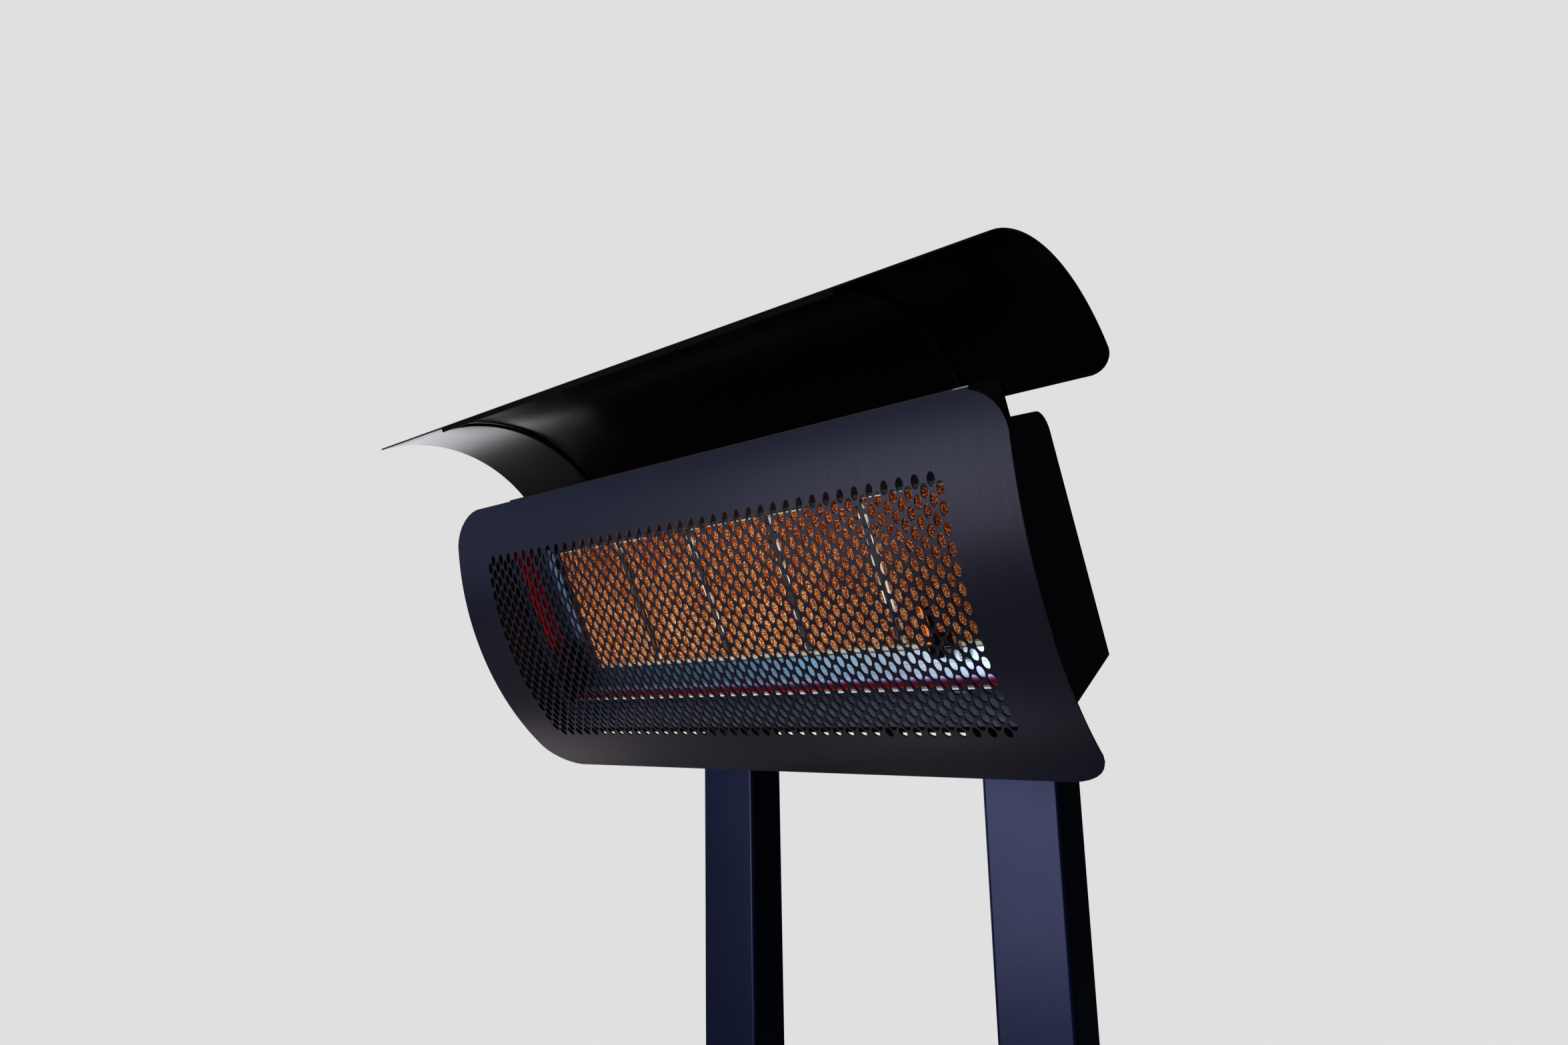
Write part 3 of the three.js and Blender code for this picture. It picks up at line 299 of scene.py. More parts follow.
def hole_cell(bm, x, y, open_hole):
    """One six-sided cell of the sheet, with an oval hole or whole."""
    side = HOLE_PITCH / 2
    tip = (side ** 2 + ROW_PITCH ** 2) / (2 * ROW_PITCH)
    shoulder = ROW_PITCH - tip
    corners = [Vector((0, tip, 0)), Vector((-side, shoulder, 0)), Vector((-side, -shoulder, 0)),
               Vector((0, -tip, 0)), Vector((side, -shoulder, 0)), Vector((side, shoulder, 0))]
    rim = []
    for corner, after in zip(corners, corners[1:] + corners[:1]):
        rim += [corner.lerp(after, i / RIM_PARTS) for i in range(RIM_PARTS)]
    outer = [bm.verts.new((x + spot.x, y + spot.y, 0)) for spot in rim]
    if not open_hole:
        bm.faces.new(outer)
        return
    inner = []
    for i in range(len(rim)):
        turn = math.pi / 2 + 2 * math.pi * i / len(rim)
        spot = (x + HOLE_WIDTH / 2 * math.cos(turn), y + HOLE_HEIGHT / 2 * math.sin(turn), 0)
        inner.append(bm.verts.new(spot))
    for i in range(len(rim)):
        j = (i + 1) % len(rim)
        bm.faces.new((outer[i], outer[j], inner[j], inner[i]))


screen_bm = bmesh.new()
for row in range(-SPARE_ROWS, HOLE_ROWS + SPARE_ROWS + 1):
    y = TOP_MARGIN + row * ROW_PITCH
    holes = HOLES_IN_ROW + row % 2
    across = holes + 2 * SPARE_COLUMNS
    for i in range(across):
        in_pattern = 0 <= row < HOLE_ROWS and SPARE_COLUMNS <= i < holes + SPARE_COLUMNS
        hole_cell(screen_bm, (i - (across - 1) / 2) * HOLE_PITCH, y, in_pattern)
bmesh.ops.remove_doubles(screen_bm, verts=screen_bm.verts, dist=0.02)
round_off(screen_bm, SCREEN_WIDTH / 2, SCREEN_LENGTH, SCREEN_CORNER, SCREEN_CORNER)
rolled(screen_bm, SCREEN_CENTRE, SCREEN_OUTSIDE, SCREEN_TOP_ANGLE)
thicken(screen_bm, SCREEN_THICK)

# Blackened steel with a satin sheen and a faint grain down the sheet, blue-black. Its colour carries a
# painted sheen: bluer and lighter high up, where it mirrors the lights, and browner and darker low down,
# where it faces the floor.
PAINTED_SHADE_LOW_Z = PIVOT.z - 0.17
PAINTED_SHEEN_HIGH_Z = PIVOT.z + 0.10

screen_steel, tree, shader, place = new_material("blackened_steel")
stretched = add_node(tree, "Mapping", {"Scale": (900.0, 25.0, 25.0)}, {"Vector": place})
grain = add_node(tree, "TexNoise", {"Scale": 1.0, "Detail": 4.0, "Roughness": 0.6}, {"Vector": stretched})
cloud = add_node(tree, "TexNoise", {"Scale": 7.0, "Detail": 4.0, "Roughness": 0.6}, {"Vector": place})
height = add_node(tree, "SeparateXYZ", {}, {"Vector": place})
sheen_rise = add_node(tree, "MapRange", {"From Min": PAINTED_SHADE_LOW_Z, "From Max": PAINTED_SHEEN_HIGH_Z},
                {"Value": height.outputs["Z"]})
# Painted sheen and shade: brown-black low down, lighter blue-black high up.
painted_sheen_tint = add_node(tree, "Mix", {"data_type": "RGBA", 6: linear("#2d2730"), 7: linear("#2c3049")},
                     {0: sheen_rise})
mottle = add_node(tree, "Mix", {"data_type": "RGBA", "blend_type": "MULTIPLY", 7: linear("#b8bccb")},
                  {0: cloud, 6: painted_sheen_tint.outputs[2]})
gloss = add_node(tree, "MapRange", {"To Min": 0.30, "To Max": 0.44}, {"Value": grain})
bump = add_node(tree, "Bump", {"Strength": 0.05, "Distance": 0.0002}, {"Height": grain})
set_up(tree, shader, {"Metallic": 0.2, "Specular IOR Level": 0.36},
       {"Base Color": mottle.outputs[2], "Roughness": gloss, "Normal": bump})

# Punched edges in front of the tiles are bare warm steel that mirrors the glow. Elsewhere they carry
# painted shade: black at the outer holes, darker above and below the tiles. The trimmed ends of the sheet
# are rubbed bright.
GLOW_LOW_Z = 34.0
GLOW_HIGH_Z = 146.0
GLOW_FADE = 8.0

punched_steel, tree, shader, place = new_material("punched_steel_edge")
place = head_millimetres(tree, place)
axes = add_node(tree, "SeparateXYZ", {}, {"Vector": place})
part_across = add_node(tree, "MapRange", {"From Min": -SCREEN_WIDTH / 2, "From Max": SCREEN_WIDTH / 2},
                       {"Value": axes.outputs["X"]})
# Painted shade: the outer holes' edges are black, so they show no glow.
burnt = add_node(tree, "ValToRGB", {"stops": (
    (0, "#9a9ca8"), (0.01, "#9a9ca8"), (0.02, "#0c0c0e"), (0.26, "#0c0c0e"), (0.32, "#d4b898"),
    (0.83, "#d4b898"), (0.86, "#0c0c0e"), (0.98, "#0c0c0e"), (0.99, "#9a9ca8"), (1, "#9a9ca8"))},
    {"Fac": part_across})
# Painted shade: the edges above and below the tiles are darkened.
shade_below = add_node(tree, "MapRange", {
    "From Min": GLOW_LOW_Z - GLOW_FADE, "From Max": GLOW_LOW_Z, "To Min": 0.06},
    {"Value": axes.outputs["Z"]})
shade_above = add_node(tree, "MapRange", {
    "From Min": GLOW_HIGH_Z + GLOW_FADE, "From Max": GLOW_HIGH_Z, "To Min": 0.3},
    {"Value": axes.outputs["Z"]})
level = add_node(tree, "Math", {"operation": "MULTIPLY"}, {0: shade_below, 1: shade_above})
bare_and_painted_shade = add_node(tree, "Mix", {"data_type": "RGBA", "blend_type": "MULTIPLY", 0: 1.0}, {6: burnt, 7: level})
tearing = add_node(tree, "TexNoise", {"Scale": 0.9, "Detail": 2.0}, {"Vector": place})
gloss = add_node(tree, "MapRange", {"To Min": 0.3, "To Max": 0.5}, {"Value": tearing})
set_up(tree, shader, {"Metallic": 1.0}, {"Base Color": bare_and_painted_shade.outputs[2], "Roughness": gloss})

for face in screen_bm.faces:
    outwards = face.calc_center_median() - SCREEN_CENTRE
    outwards.x = 0
    face.material_index = 1 if abs(face.normal.dot(outwards.normalized())) < 0.5 else 0
screen = make_piece(screen_bm, "screen_sheet", "head", [screen_steel, punched_steel],
                    ["front_screen"])
screen_only.objects.link(screen)


# ---- Hood --------------------------------------------------------------------
# A wide sheet rolled into a shallow tunnel over the head, with its front edge folded down between the arms.
# Powder-coated near black; three rivets on each side hold it to its arms.
HOOD_WIDTH = 696.0
HOOD_RADIUS = 159.6
HOOD_OUTSIDE = HOOD_RADIUS + 0.7
HOOD_CENTRE = Vector((0, -205.5, 128.2))
HOOD_REAR_ANGLE = math.radians(16.1)
HOOD_ARC = math.radians(75)
HOOD_THICK = 1.4
HOOD_LIP = 5.0
HOOD_REAR_CORNER = 20.0
HOOD_FRONT_CORNER = 6.0
ARM_X = 230.1
LIP_PAST_ARM = 12.0
RIVET_ANGLES = (28, 55, 82)
RIVET_RADIUS = 3.4


def add_strip(bm, edges, way):
    """Adds a strip of sheet along some edges. Returns the edges that it adds, the outer ones first."""
    made = bmesh.ops.extrude_edge_only(bm, edges=edges)["geom"]
    bmesh.ops.translate(bm, verts=[item for item in made if isinstance(item, bmesh.types.BMVert)], vec=way)
    return [item for item in made if isinstance(item, bmesh.types.BMEdge)]


def mottled(name, colour, other, scale, detail, roughness, metallic=0.0):
    """A surface clouded between two colours. Roughness is a number, or a pair that the same cloud mixes."""
    material, tree, shader, place = new_material(name)
    cloud = add_node(tree, "TexNoise", {"Scale": scale, "Detail": detail}, {"Vector": place})
    tint = add_node(tree, "Mix", {"data_type": "RGBA", 6: linear(colour), 7: linear(other)}, {0: cloud})
    set_up(tree, shader, {"Metallic": metallic}, {"Base Color": tint.outputs[2]})
    if isinstance(roughness, tuple):
        smoothest, roughest = roughness
        gloss = add_node(tree, "MapRange", {"To Min": smoothest, "To Max": roughest}, {"Value": cloud})
        set_up(tree, shader, {}, {"Roughness": gloss})
    else:
        set_up(tree, shader, {"Roughness": roughness})
    return material


def powder_coat(name, colour, darker, roughness, grain_mm, metallic=0.0, specular=0.5):
    """Baked powder paint on steel: fine orange peel, slightly uneven gloss and colour."""
    material = mottled(name, colour, darker, 9.0, 3.0, (roughness - 0.06, roughness + 0.06), metallic)
    tree = material.node_tree
    shader = tree.nodes["Principled BSDF"]
    place = add_node(tree, "TexCoord").outputs["Object"]
    peel = add_node(tree, "TexNoise", {"Scale": 1000 / grain_mm, "Detail": 2.0}, {"Vector": place})
    bump = add_node(tree, "Bump", {"Strength": 0.12, "Distance": 0.0004}, {"Height": peel})
    set_up(tree, shader, {"Specular IOR Level": specular}, {"Normal": bump})
    return material


hood_paint = powder_coat("hood_powder_coat", "#0b0b0d", "#070708", 0.25, 0.8)

# A darker matt copy of the black paint, near black and almost without shine: painted shade on the hood's
# forward-facing lip and on the arms, which sit in the hood's shadow.
matt_shade_paint = powder_coat("matt_black_paint_painted_shade", "#060606", "#030303", 0.8, 1.0, specular=0.2)

hood_bm = bmesh.new()
hood_length = HOOD_RADIUS * HOOD_ARC
bmesh.ops.create_grid(hood_bm, x_segments=36, y_segments=48, size=0.5)
bmesh.ops.translate(hood_bm, verts=hood_bm.verts, vec=(0, 0.5, 0))
bmesh.ops.scale(hood_bm, verts=hood_bm.verts, vec=(HOOD_WIDTH, hood_length, 1))
round_off(hood_bm, HOOD_WIDTH / 2, hood_length, HOOD_REAR_CORNER, HOOD_FRONT_CORNER)
rolled(hood_bm, HOOD_CENTRE, HOOD_OUTSIDE, HOOD_REAR_ANGLE)
front_edge = [e for e in hood_bm.edges if e.is_boundary and all(
    v.co.y < HOOD_CENTRE.y - 2 and abs(v.co.x) < ARM_X + LIP_PAST_ARM for v in e.verts)]
add_strip(hood_bm, front_edge, (0, 0, -HOOD_LIP))
thicken(hood_bm, HOOD_THICK)
# Faces that look straight forward, on the folded lip, take the darker matt paint as painted shade.
for face in hood_bm.faces:
    face.material_index = 1 if face.normal.y < -0.95 else 0
make_piece(hood_bm, "hood_sheet", "head", [hood_paint, matt_shade_paint], ["hood"])

for side, sign in (("left", -1), ("right", 1)):
    rivet_bm = bmesh.new()
    for degrees in RIVET_ANGLES:
        angle = math.radians(degrees)
        outwards = Vector((0, math.cos(angle), math.sin(angle)))
        head_verts = bmesh.ops.create_uvsphere(rivet_bm, u_segments=16, v_segments=8,
                                               radius=RIVET_RADIUS)["verts"]
        bmesh.ops.scale(rivet_bm, verts=head_verts, vec=(1, 1, 0.5))
        turn = outwards.to_track_quat("Z", "Y").to_matrix()
        bmesh.ops.rotate(rivet_bm, verts=head_verts, cent=(0, 0, 0), matrix=turn)
        spot = HOOD_CENTRE + outwards * (HOOD_RADIUS + 0.2) + Vector((sign * ARM_X, 0, 0))
        bmesh.ops.translate(rivet_bm, verts=head_verts, vec=spot)
    make_piece(rivet_bm, f"hood_rivets_{side}", "head", hood_paint)


# ---- Folded and machined pieces that keep the frame's shape ------------------
# Steel boxes, plates and turned parts: each copy gets the small rounded edges that folding,
# cutting and painting leave, and the finish of the real piece.
def round_edges(bm, edges, radius, segments=2, clamp=False):
    """Rounds some edges. Returns the corners and faces that it makes."""
    return bmesh.ops.bevel(bm, geom=edges, offset=radius, segments=segments, profile=0.5, affect="EDGES",
                           material=-1, clamp_overlap=clamp)


def softened(node, body, material, width_mm, sharp=35):
    """A copy of a CAD node with its edges rounded, which stands for the node."""
    bm = bmesh.new()
    bm.from_mesh(frame["nodes"][node].data)
    bmesh.ops.remove_doubles(bm, verts=bm.verts, dist=1e-6)
    bmesh.ops.dissolve_limit(bm, angle_limit=math.radians(1), verts=bm.verts, edges=bm.edges)
    edges = [edge for edge in bm.edges if edge.is_manifold and edge.calc_face_angle(0) > math.radians(40)]
    round_edges(bm, edges, width_mm / 1000, clamp=True)
    return make_piece(bm, f"{node}_finished", body, material, [node], Matrix.Identity(4), sharp)


housing_paint = powder_coat("housing_powder_coat", "#08080a", "#050506", 0.5, 0.9, specular=0.3)
for node in ("head_bracket_left", "head_bracket_right"):
    softened(node, "head", housing_paint, 0.6)
for node in ("post_bracket_left", "post_bracket_right"):
    softened(node, "stand", housing_paint, 0.6)

# The flange's trimmed top edge carries a painted reflection of the glow in red-brown, with a painted white
# glint at its right end.
PAINTED_GLOW_Z = 195.6
PAINTED_GLINT_X = 260.0
flange_paint_and_glint, tree, shader, place = new_material("flange_coat_painted_glint")
place = head_millimetres(tree, place)
axes = add_node(tree, "SeparateXYZ", {}, {"Vector": place})
glow_variation = add_node(tree, "TexNoise", {"Scale": 0.2, "Detail": 3.0}, {"Vector": place})
edge = add_node(tree, "MapRange", {"From Min": PAINTED_GLOW_Z - 0.2, "From Max": PAINTED_GLOW_Z + 0.2},
                {"Value": axes.outputs["Z"]})
# Painted reflection of the glow along the top edge, in uneven red-brown.
painted_glow_edge = add_node(tree, "Mix", {"data_type": "RGBA", 6: linear("#5a2420"), 7: linear("#321412")}, {0: glow_variation})
end = add_node(tree, "MapRange", {"From Min": PAINTED_GLINT_X - 2, "From Max": PAINTED_GLINT_X + 2},
               {"Value": axes.outputs["X"]})
# Painted glint: white on the top edge's right end.
painted_glint = add_node(tree, "Mix", {"data_type": "RGBA", 7: linear("#f4f4f6")}, {0: end, 6: painted_glow_edge.outputs[2]})
tint = add_node(tree, "Mix", {"data_type": "RGBA", 6: linear("#08080a")}, {0: edge, 7: painted_glint.outputs[2]})
set_up(tree, shader, {"Roughness": 0.5}, {"Base Color": tint.outputs[2]})
softened("top_flange", "head", flange_paint_and_glint, 0.6)


# ---- Rear housing ------------------------------------------------------------
# A folded steel box, open in front, with a rounded top rear edge and pressed louvres in its back.
# Powder-coated near black outside; the inside is bare galvanised steel.
HOUSING_WIDTH = 559.0
HOUSING_FRONT_Y = -157.0
HOUSING_BACK_Y = -31.0
HOUSING_BOTTOM_Z = -61.6
HOUSING_TOP_FRONT_Z = 172.0
HOUSING_TOP_BACK_Z = 152.0
HOUSING_CORNER = 18.0
HOUSING_WALL = 2.0
LOUVRES = 9
LOUVRE_HALF = 121.7
LOUVRE_HEIGHT = 6.0
LOUVRE_FIRST_Z = -36.6
LOUVRE_PITCH = 15.6
LOUVRE_LAP = 1.5
LOUVRE_PAST_SLOT = 2.0
LOUVRE_RADIUS = 7.0
LOUVRE_ARC = math.radians(62)
LOUVRE_THICK = 1.0

# The lower front edge is hemmed, with three tabs: left end, right end and depth below the bottom.
HEM_FRONT_Y = HOUSING_FRONT_Y - 2.0
HEM_BACK_Y = HOUSING_FRONT_Y - 0.4
HEMS = ((-278.5, 278.5, 2.2), (-278.5, -229, 7.5), (125, 144, 7.5), (205, 278.5, 7.5))


def add_box(bm, low, high, rounded=0.0, index=0):
    """A box between two corners, with rounded edges where asked."""
    verts = bmesh.ops.create_cube(bm, size=1)["verts"]
    bmesh.ops.scale(bm, verts=verts, vec=Vector(high) - Vector(low))
    bmesh.ops.translate(bm, verts=verts, vec=(Vector(high) + Vector(low)) / 2)
    if rounded:
        edges = list({edge for vert in verts for edge in vert.link_edges})
        verts = round_edges(bm, edges, rounded)["verts"]
    for face in {f for v in verts for f in v.link_faces}:
        face.material_index = index


galvanised_steel, tree, shader, place = new_material("galvanised_steel")
spangle = add_node(tree, "TexVoronoi", {"Scale": 110.0}, {"Vector": place})
tint = add_node(tree, "Mix", {"data_type": "RGBA", 6: linear("#6c7a90"), 7: linear("#a6b4c8")},
                {0: spangle.outputs["Distance"]})
set_up(tree, shader, {"Metallic": 0.3, "Roughness": 0.45}, {"Base Color": tint.outputs[2]})

housing_bm = bmesh.new()
add_box(housing_bm, (-HOUSING_WIDTH / 2, HOUSING_FRONT_Y, HOUSING_BOTTOM_Z),
        (HOUSING_WIDTH / 2, HOUSING_BACK_Y, HOUSING_TOP_FRONT_Z))
for vert in housing_bm.verts:
    if vert.co.y > HOUSING_FRONT_Y + 1 and vert.co.z > 0:
        vert.co.z = HOUSING_TOP_BACK_Z
bmesh.ops.delete(housing_bm, geom=[f for f in housing_bm.faces if f.normal.y < -0.9], context="FACES_ONLY")
rear_top = [e for e in housing_bm.edges if all(v.co.y > HOUSING_BACK_Y - 1 and v.co.z > 0 for v in e.verts)]
round_edges(housing_bm, rear_top, HOUSING_CORNER, 7)
cuts = [((0, 0, LOUVRE_FIRST_Z + i * LOUVRE_PITCH + step), (0, 0, 1))
        for i in range(LOUVRES) for step in (0, LOUVRE_HEIGHT)]
cuts += [((side * LOUVRE_HALF, 0, 0), (1, 0, 0)) for side in (-1, 1)]
for spot, normal in cuts:
    back = [f for f in housing_bm.faces if f.normal.y > 0.999]
    around = {v for f in back for v in f.verts} | {e for f in back for e in f.edges}
    bmesh.ops.bisect_plane(housing_bm, geom=back + list(around), dist=1e-4, plane_co=spot, plane_no=normal)
slots = []
for face in housing_bm.faces:
    middle = face.calc_center_median()
    row, above = divmod(middle.z - LOUVRE_FIRST_Z, LOUVRE_PITCH)
    in_a_row = 0 <= row < LOUVRES and above < LOUVRE_HEIGHT
    if face.normal.y > 0.999 and abs(middle.x) < LOUVRE_HALF and in_a_row:
        slots.append(face)
bmesh.ops.delete(housing_bm, geom=slots, context="FACES_ONLY")
bmesh.ops.recalc_face_normals(housing_bm, faces=housing_bm.faces)
if max(housing_bm.faces, key=lambda f: f.calc_center_median().x).normal.x < 0:
    bmesh.ops.reverse_faces(housing_bm, faces=housing_bm.faces)
bmesh.ops.solidify(housing_bm, geom=housing_bm.faces[:], thickness=HOUSING_WALL)
middle = Vector((0, (HOUSING_BACK_Y + HOUSING_FRONT_Y) / 2, 50))
for face in housing_bm.faces:
    inside = face.normal.dot(middle - face.calc_center_median()) > 0
    face.material_index = 1 if inside and face.calc_area() > 400 else 0
for i in range(LOUVRES):
    top_z = LOUVRE_FIRST_Z + i * LOUVRE_PITCH + LOUVRE_HEIGHT
    hood_z = top_z + LOUVRE_LAP
    half = LOUVRE_HALF + LOUVRE_PAST_SLOT
    ends = [housing_bm.verts.new((x, HOUSING_BACK_Y, hood_z)) for x in (-half, half)]
    bmesh.ops.spin(housing_bm, geom=[housing_bm.edges.new(ends)], axis=(1, 0, 0), angle=-LOUVRE_ARC,
                   steps=5, cent=(0, HOUSING_BACK_Y, hood_z - LOUVRE_RADIUS))
    out_here = [f for f in housing_bm.faces if f.calc_center_median().y > HOUSING_BACK_Y + 0.2
                and top_z - 8 < f.calc_center_median().z < top_z + 3]
    bmesh.ops.solidify(housing_bm, geom=out_here, thickness=LOUVRE_THICK)
for left, right, drop in HEMS:
    add_box(housing_bm, (left, HEM_FRONT_Y, HOUSING_BOTTOM_Z - drop),
            (right, HEM_BACK_Y, HOUSING_BOTTOM_Z + HOUSING_WALL))
housing = make_piece(housing_bm, "housing_shell", "head", [housing_paint, galvanised_steel],
                     ["rear_housing"])
behind_screen.objects.link(housing)

# Curved side plates join the housing to the back of the screen and close its ends.
SIDE_PLATE_OUTSIDE = SCREEN_RADIUS - 1.5
SIDE_PLATE_INSIDE = SCREEN_RADIUS - 80.0
SIDE_PLATE_THICK = 1.6
SIDE_PLATE_X = HOUSING_WIDTH / 2 + 1.3
SIDE_PLATE_FROM = math.radians(158)
SIDE_PLATE_ARC = math.radians(48)
from_centre = Vector((0, math.cos(SIDE_PLATE_FROM), math.sin(SIDE_PLATE_FROM)))
for side, sign in (("left", -1), ("right", 1)):
    plate_bm = bmesh.new()
    middle = SCREEN_CENTRE + Vector((sign * SIDE_PLATE_X, 0, 0))
    ends = [plate_bm.verts.new(middle + from_centre * reach)
            for reach in (SIDE_PLATE_OUTSIDE, SIDE_PLATE_INSIDE)]
    bmesh.ops.spin(plate_bm, geom=[plate_bm.edges.new(ends)], cent=SCREEN_CENTRE, axis=(1, 0, 0),
                   angle=SIDE_PLATE_ARC, steps=24)
    thicken(plate_bm, SIDE_PLATE_THICK)
    make_piece(plate_bm, f"screen_side_plate_{side}", "head", housing_paint,
               [f"screen_bracket_{side}"])


# ---- Hood arms ---------------------------------------------------------------
# A thin steel rib follows the hood's underside on each side and is riveted to it. It stands on a
# folded strut, which two screws hold on the housing's top.
RIB_DEPTH = 2.6
RIB_HALF_THICK = 1.5
RIB_OUTSIDE = HOOD_RADIUS - 1.2
RIB_INSIDE = RIB_OUTSIDE - RIB_DEPTH
RIB_FROM = math.radians(21)
RIB_TO = math.radians(89.5)
STRUT_WIDTH = 33.0
STRUT_THICK = 3.0
STRUT_PAST_RIB = 3.0
STRUT_GAP = 0.4
FOOT_DEPTH = 18.0
FOOT_THICK = 2.0
FOOT_LIFT = 0.8
SCREW_RADIUS = 4.0
SCREW_HEIGHT = 2.4
SCREW_PLACE = Vector((12.0, -11.0, 4.0))

from_centre = Vector((0, math.cos(RIB_FROM), math.sin(RIB_FROM)))
strut_front_y = HOOD_CENTRE.y + (RIB_OUTSIDE - RIB_DEPTH / 2) * from_centre.y
strut_y = strut_front_y + STRUT_THICK / 2
strut_top = HOOD_CENTRE.z + RIB_OUTSIDE * from_centre.z + STRUT_PAST_RIB
slope_back_y = HOUSING_BACK_Y - HOUSING_CORNER
part_up = (slope_back_y - strut_y) / (slope_back_y - HOUSING_FRONT_Y)
strut_foot = HOUSING_TOP_BACK_Z + (HOUSING_TOP_FRONT_Z - HOUSING_TOP_BACK_Z) * part_up + STRUT_GAP
foot_z = strut_foot + FOOT_LIFT
for side, sign in (("left", -1), ("right", 1)):
    arm_bm = bmesh.new()
    corners = []
    for x, reach in ((-RIB_HALF_THICK, RIB_OUTSIDE), (RIB_HALF_THICK, RIB_OUTSIDE),
                     (RIB_HALF_THICK, RIB_INSIDE), (-RIB_HALF_THICK, RIB_INSIDE)):
        spot = HOOD_CENTRE + Vector((sign * ARM_X + x, 0, 0)) + from_centre * reach
        corners.append(arm_bm.verts.new(spot))
    start = arm_bm.faces.new(corners)
    bmesh.ops.spin(arm_bm, geom=[start, *start.edges, *start.verts], cent=HOOD_CENTRE, axis=(1, 0, 0),
                   angle=RIB_TO - RIB_FROM, steps=40)
    middle_x = sign * (ARM_X - RIB_HALF_THICK + STRUT_WIDTH / 2)
    left, right = middle_x - STRUT_WIDTH / 2, middle_x + STRUT_WIDTH / 2
    add_box(arm_bm, (left, strut_front_y, strut_foot), (right, strut_front_y + STRUT_THICK, strut_top), 0.5)
    add_box(arm_bm, (left, strut_y - FOOT_DEPTH, foot_z), (right, strut_y, foot_z + FOOT_THICK), 0.5)
    for way in (-1, 1):
        screw = bmesh.ops.create_cone(arm_bm, cap_ends=True, segments=14, radius1=SCREW_RADIUS,
                                      radius2=SCREW_RADIUS - 1, depth=SCREW_HEIGHT)["verts"]
        bmesh.ops.translate(arm_bm, verts=screw, vec=(
            middle_x + way * SCREW_PLACE.x, strut_y + SCREW_PLACE.y, strut_foot + SCREW_PLACE.z))
    bmesh.ops.recalc_face_normals(arm_bm, faces=arm_bm.faces)
    node = f"hood_arm_{side}"
    # The rib and strut take the darker matt paint as painted shade.
    make_piece(arm_bm, f"{node}_rib", "head", matt_shade_paint, [node])


# ---- Ceramic tiles -----------------------------------------------------------
# Pressed ceramic burner plates full of fine holes. Alight they glow orange, redder between the holes,
# with cream sparks at the holes. The holes are 1.4 mm apart, as on the real ones.
TILE_COUNT = 5
TILE_SIZE = Vector((92.0, 13.0, 130.0))
TILE_PITCH = 97.2
TILE_MID = Vector((0, -115.7, 62.9))
TILE_HOLE_PITCH = 1.4
TILES_LOW_Z = 30.0
TILES_HIGH_Z = 128.0
COOLER_FROM_X = 30.0
COOLER_TO_X = 235.0

glowing_ceramic, tree, shader, place = new_material("glowing_ceramic")
place = head_millimetres(tree, place)
axes = add_node(tree, "SeparateXYZ", {}, {"Vector": place})
upright = add_node(tree, "CombineXYZ", {}, {"X": axes.outputs["X"], "Y": axes.outputs["Z"]})
holes = add_node(tree, "TexVoronoi", {
    "voronoi_dimensions": "2D", "Scale": 1 / TILE_HOLE_PITCH, "Randomness": 0.6}, {"Vector": upright})
spark = add_node(tree, "TexNoise", {"Scale": 0.75, "Detail": 2.0}, {"Vector": place})
drift = add_node(tree, "TexNoise", {"Scale": 0.03, "Detail": 3.0, "Roughness": 0.6}, {"Vector": place})
lower = add_node(tree, "MapRange", {
    "From Min": TILES_HIGH_Z, "From Max": TILES_LOW_Z, "To Min": -0.16, "To Max": 0.10},
    {"Value": axes.outputs["Z"]})
core = add_node(tree, "MapRange", {"From Min": 0.1, "From Max": 0.6, "To Min": 0.72, "To Max": 0.12},
                {"Value": holes.outputs["Distance"]})
rough = add_node(tree, "Math", {"operation": "MULTIPLY_ADD", 1: 2.8, 2: -1.4}, {0: spark})
patch = add_node(tree, "Math", {"operation": "MULTIPLY_ADD", 1: 0.5, 2: -0.25}, {0: drift})
cooler = add_node(tree, "MapRange", {
    "From Min": COOLER_FROM_X, "From Max": COOLER_TO_X, "To Min": 0.0, "To Max": -0.08},
    {"Value": axes.outputs["X"]})
level = core
for share in (rough, patch, lower, cooler):
    level = add_node(tree, "Math", {"operation": "ADD"}, {0: level, 1: share})
colours = add_node(tree, "ValToRGB", {"stops": (
    (0, "#3c1008"), (0.25, "#92260a"), (0.5, "#ac581c"), (0.75, "#cc9a58"), (1, "#f2d8a4"))},
    {"Fac": level})
dimmer = add_node(tree, "MapRange", {
    "From Min": COOLER_FROM_X, "From Max": COOLER_TO_X, "To Min": 1.0, "To Max": 0.32},
    {"Value": axes.outputs["X"]})
glow = add_node(tree, "Mix", {"data_type": "RGBA", "blend_type": "MULTIPLY", 0: 1.0},
                {6: colours, 7: dimmer})
set_up(tree, shader, {"Emission Strength": 1.0, "Base Color": linear("#4a3226"), "Roughness": 0.9},
       {"Emission Color": glow.outputs[2]})

for i in range(TILE_COUNT):
    tile_bm = bmesh.new()
    middle = TILE_MID + Vector(((i - (TILE_COUNT - 1) / 2) * TILE_PITCH, 0, 0))
    add_box(tile_bm, middle - TILE_SIZE / 2, middle + TILE_SIZE / 2, 1.2)
    node = f"ceramic_tile_{i + 1}"
    make_piece(tile_bm, f"{node}_plate", "head", glowing_ceramic, [node])


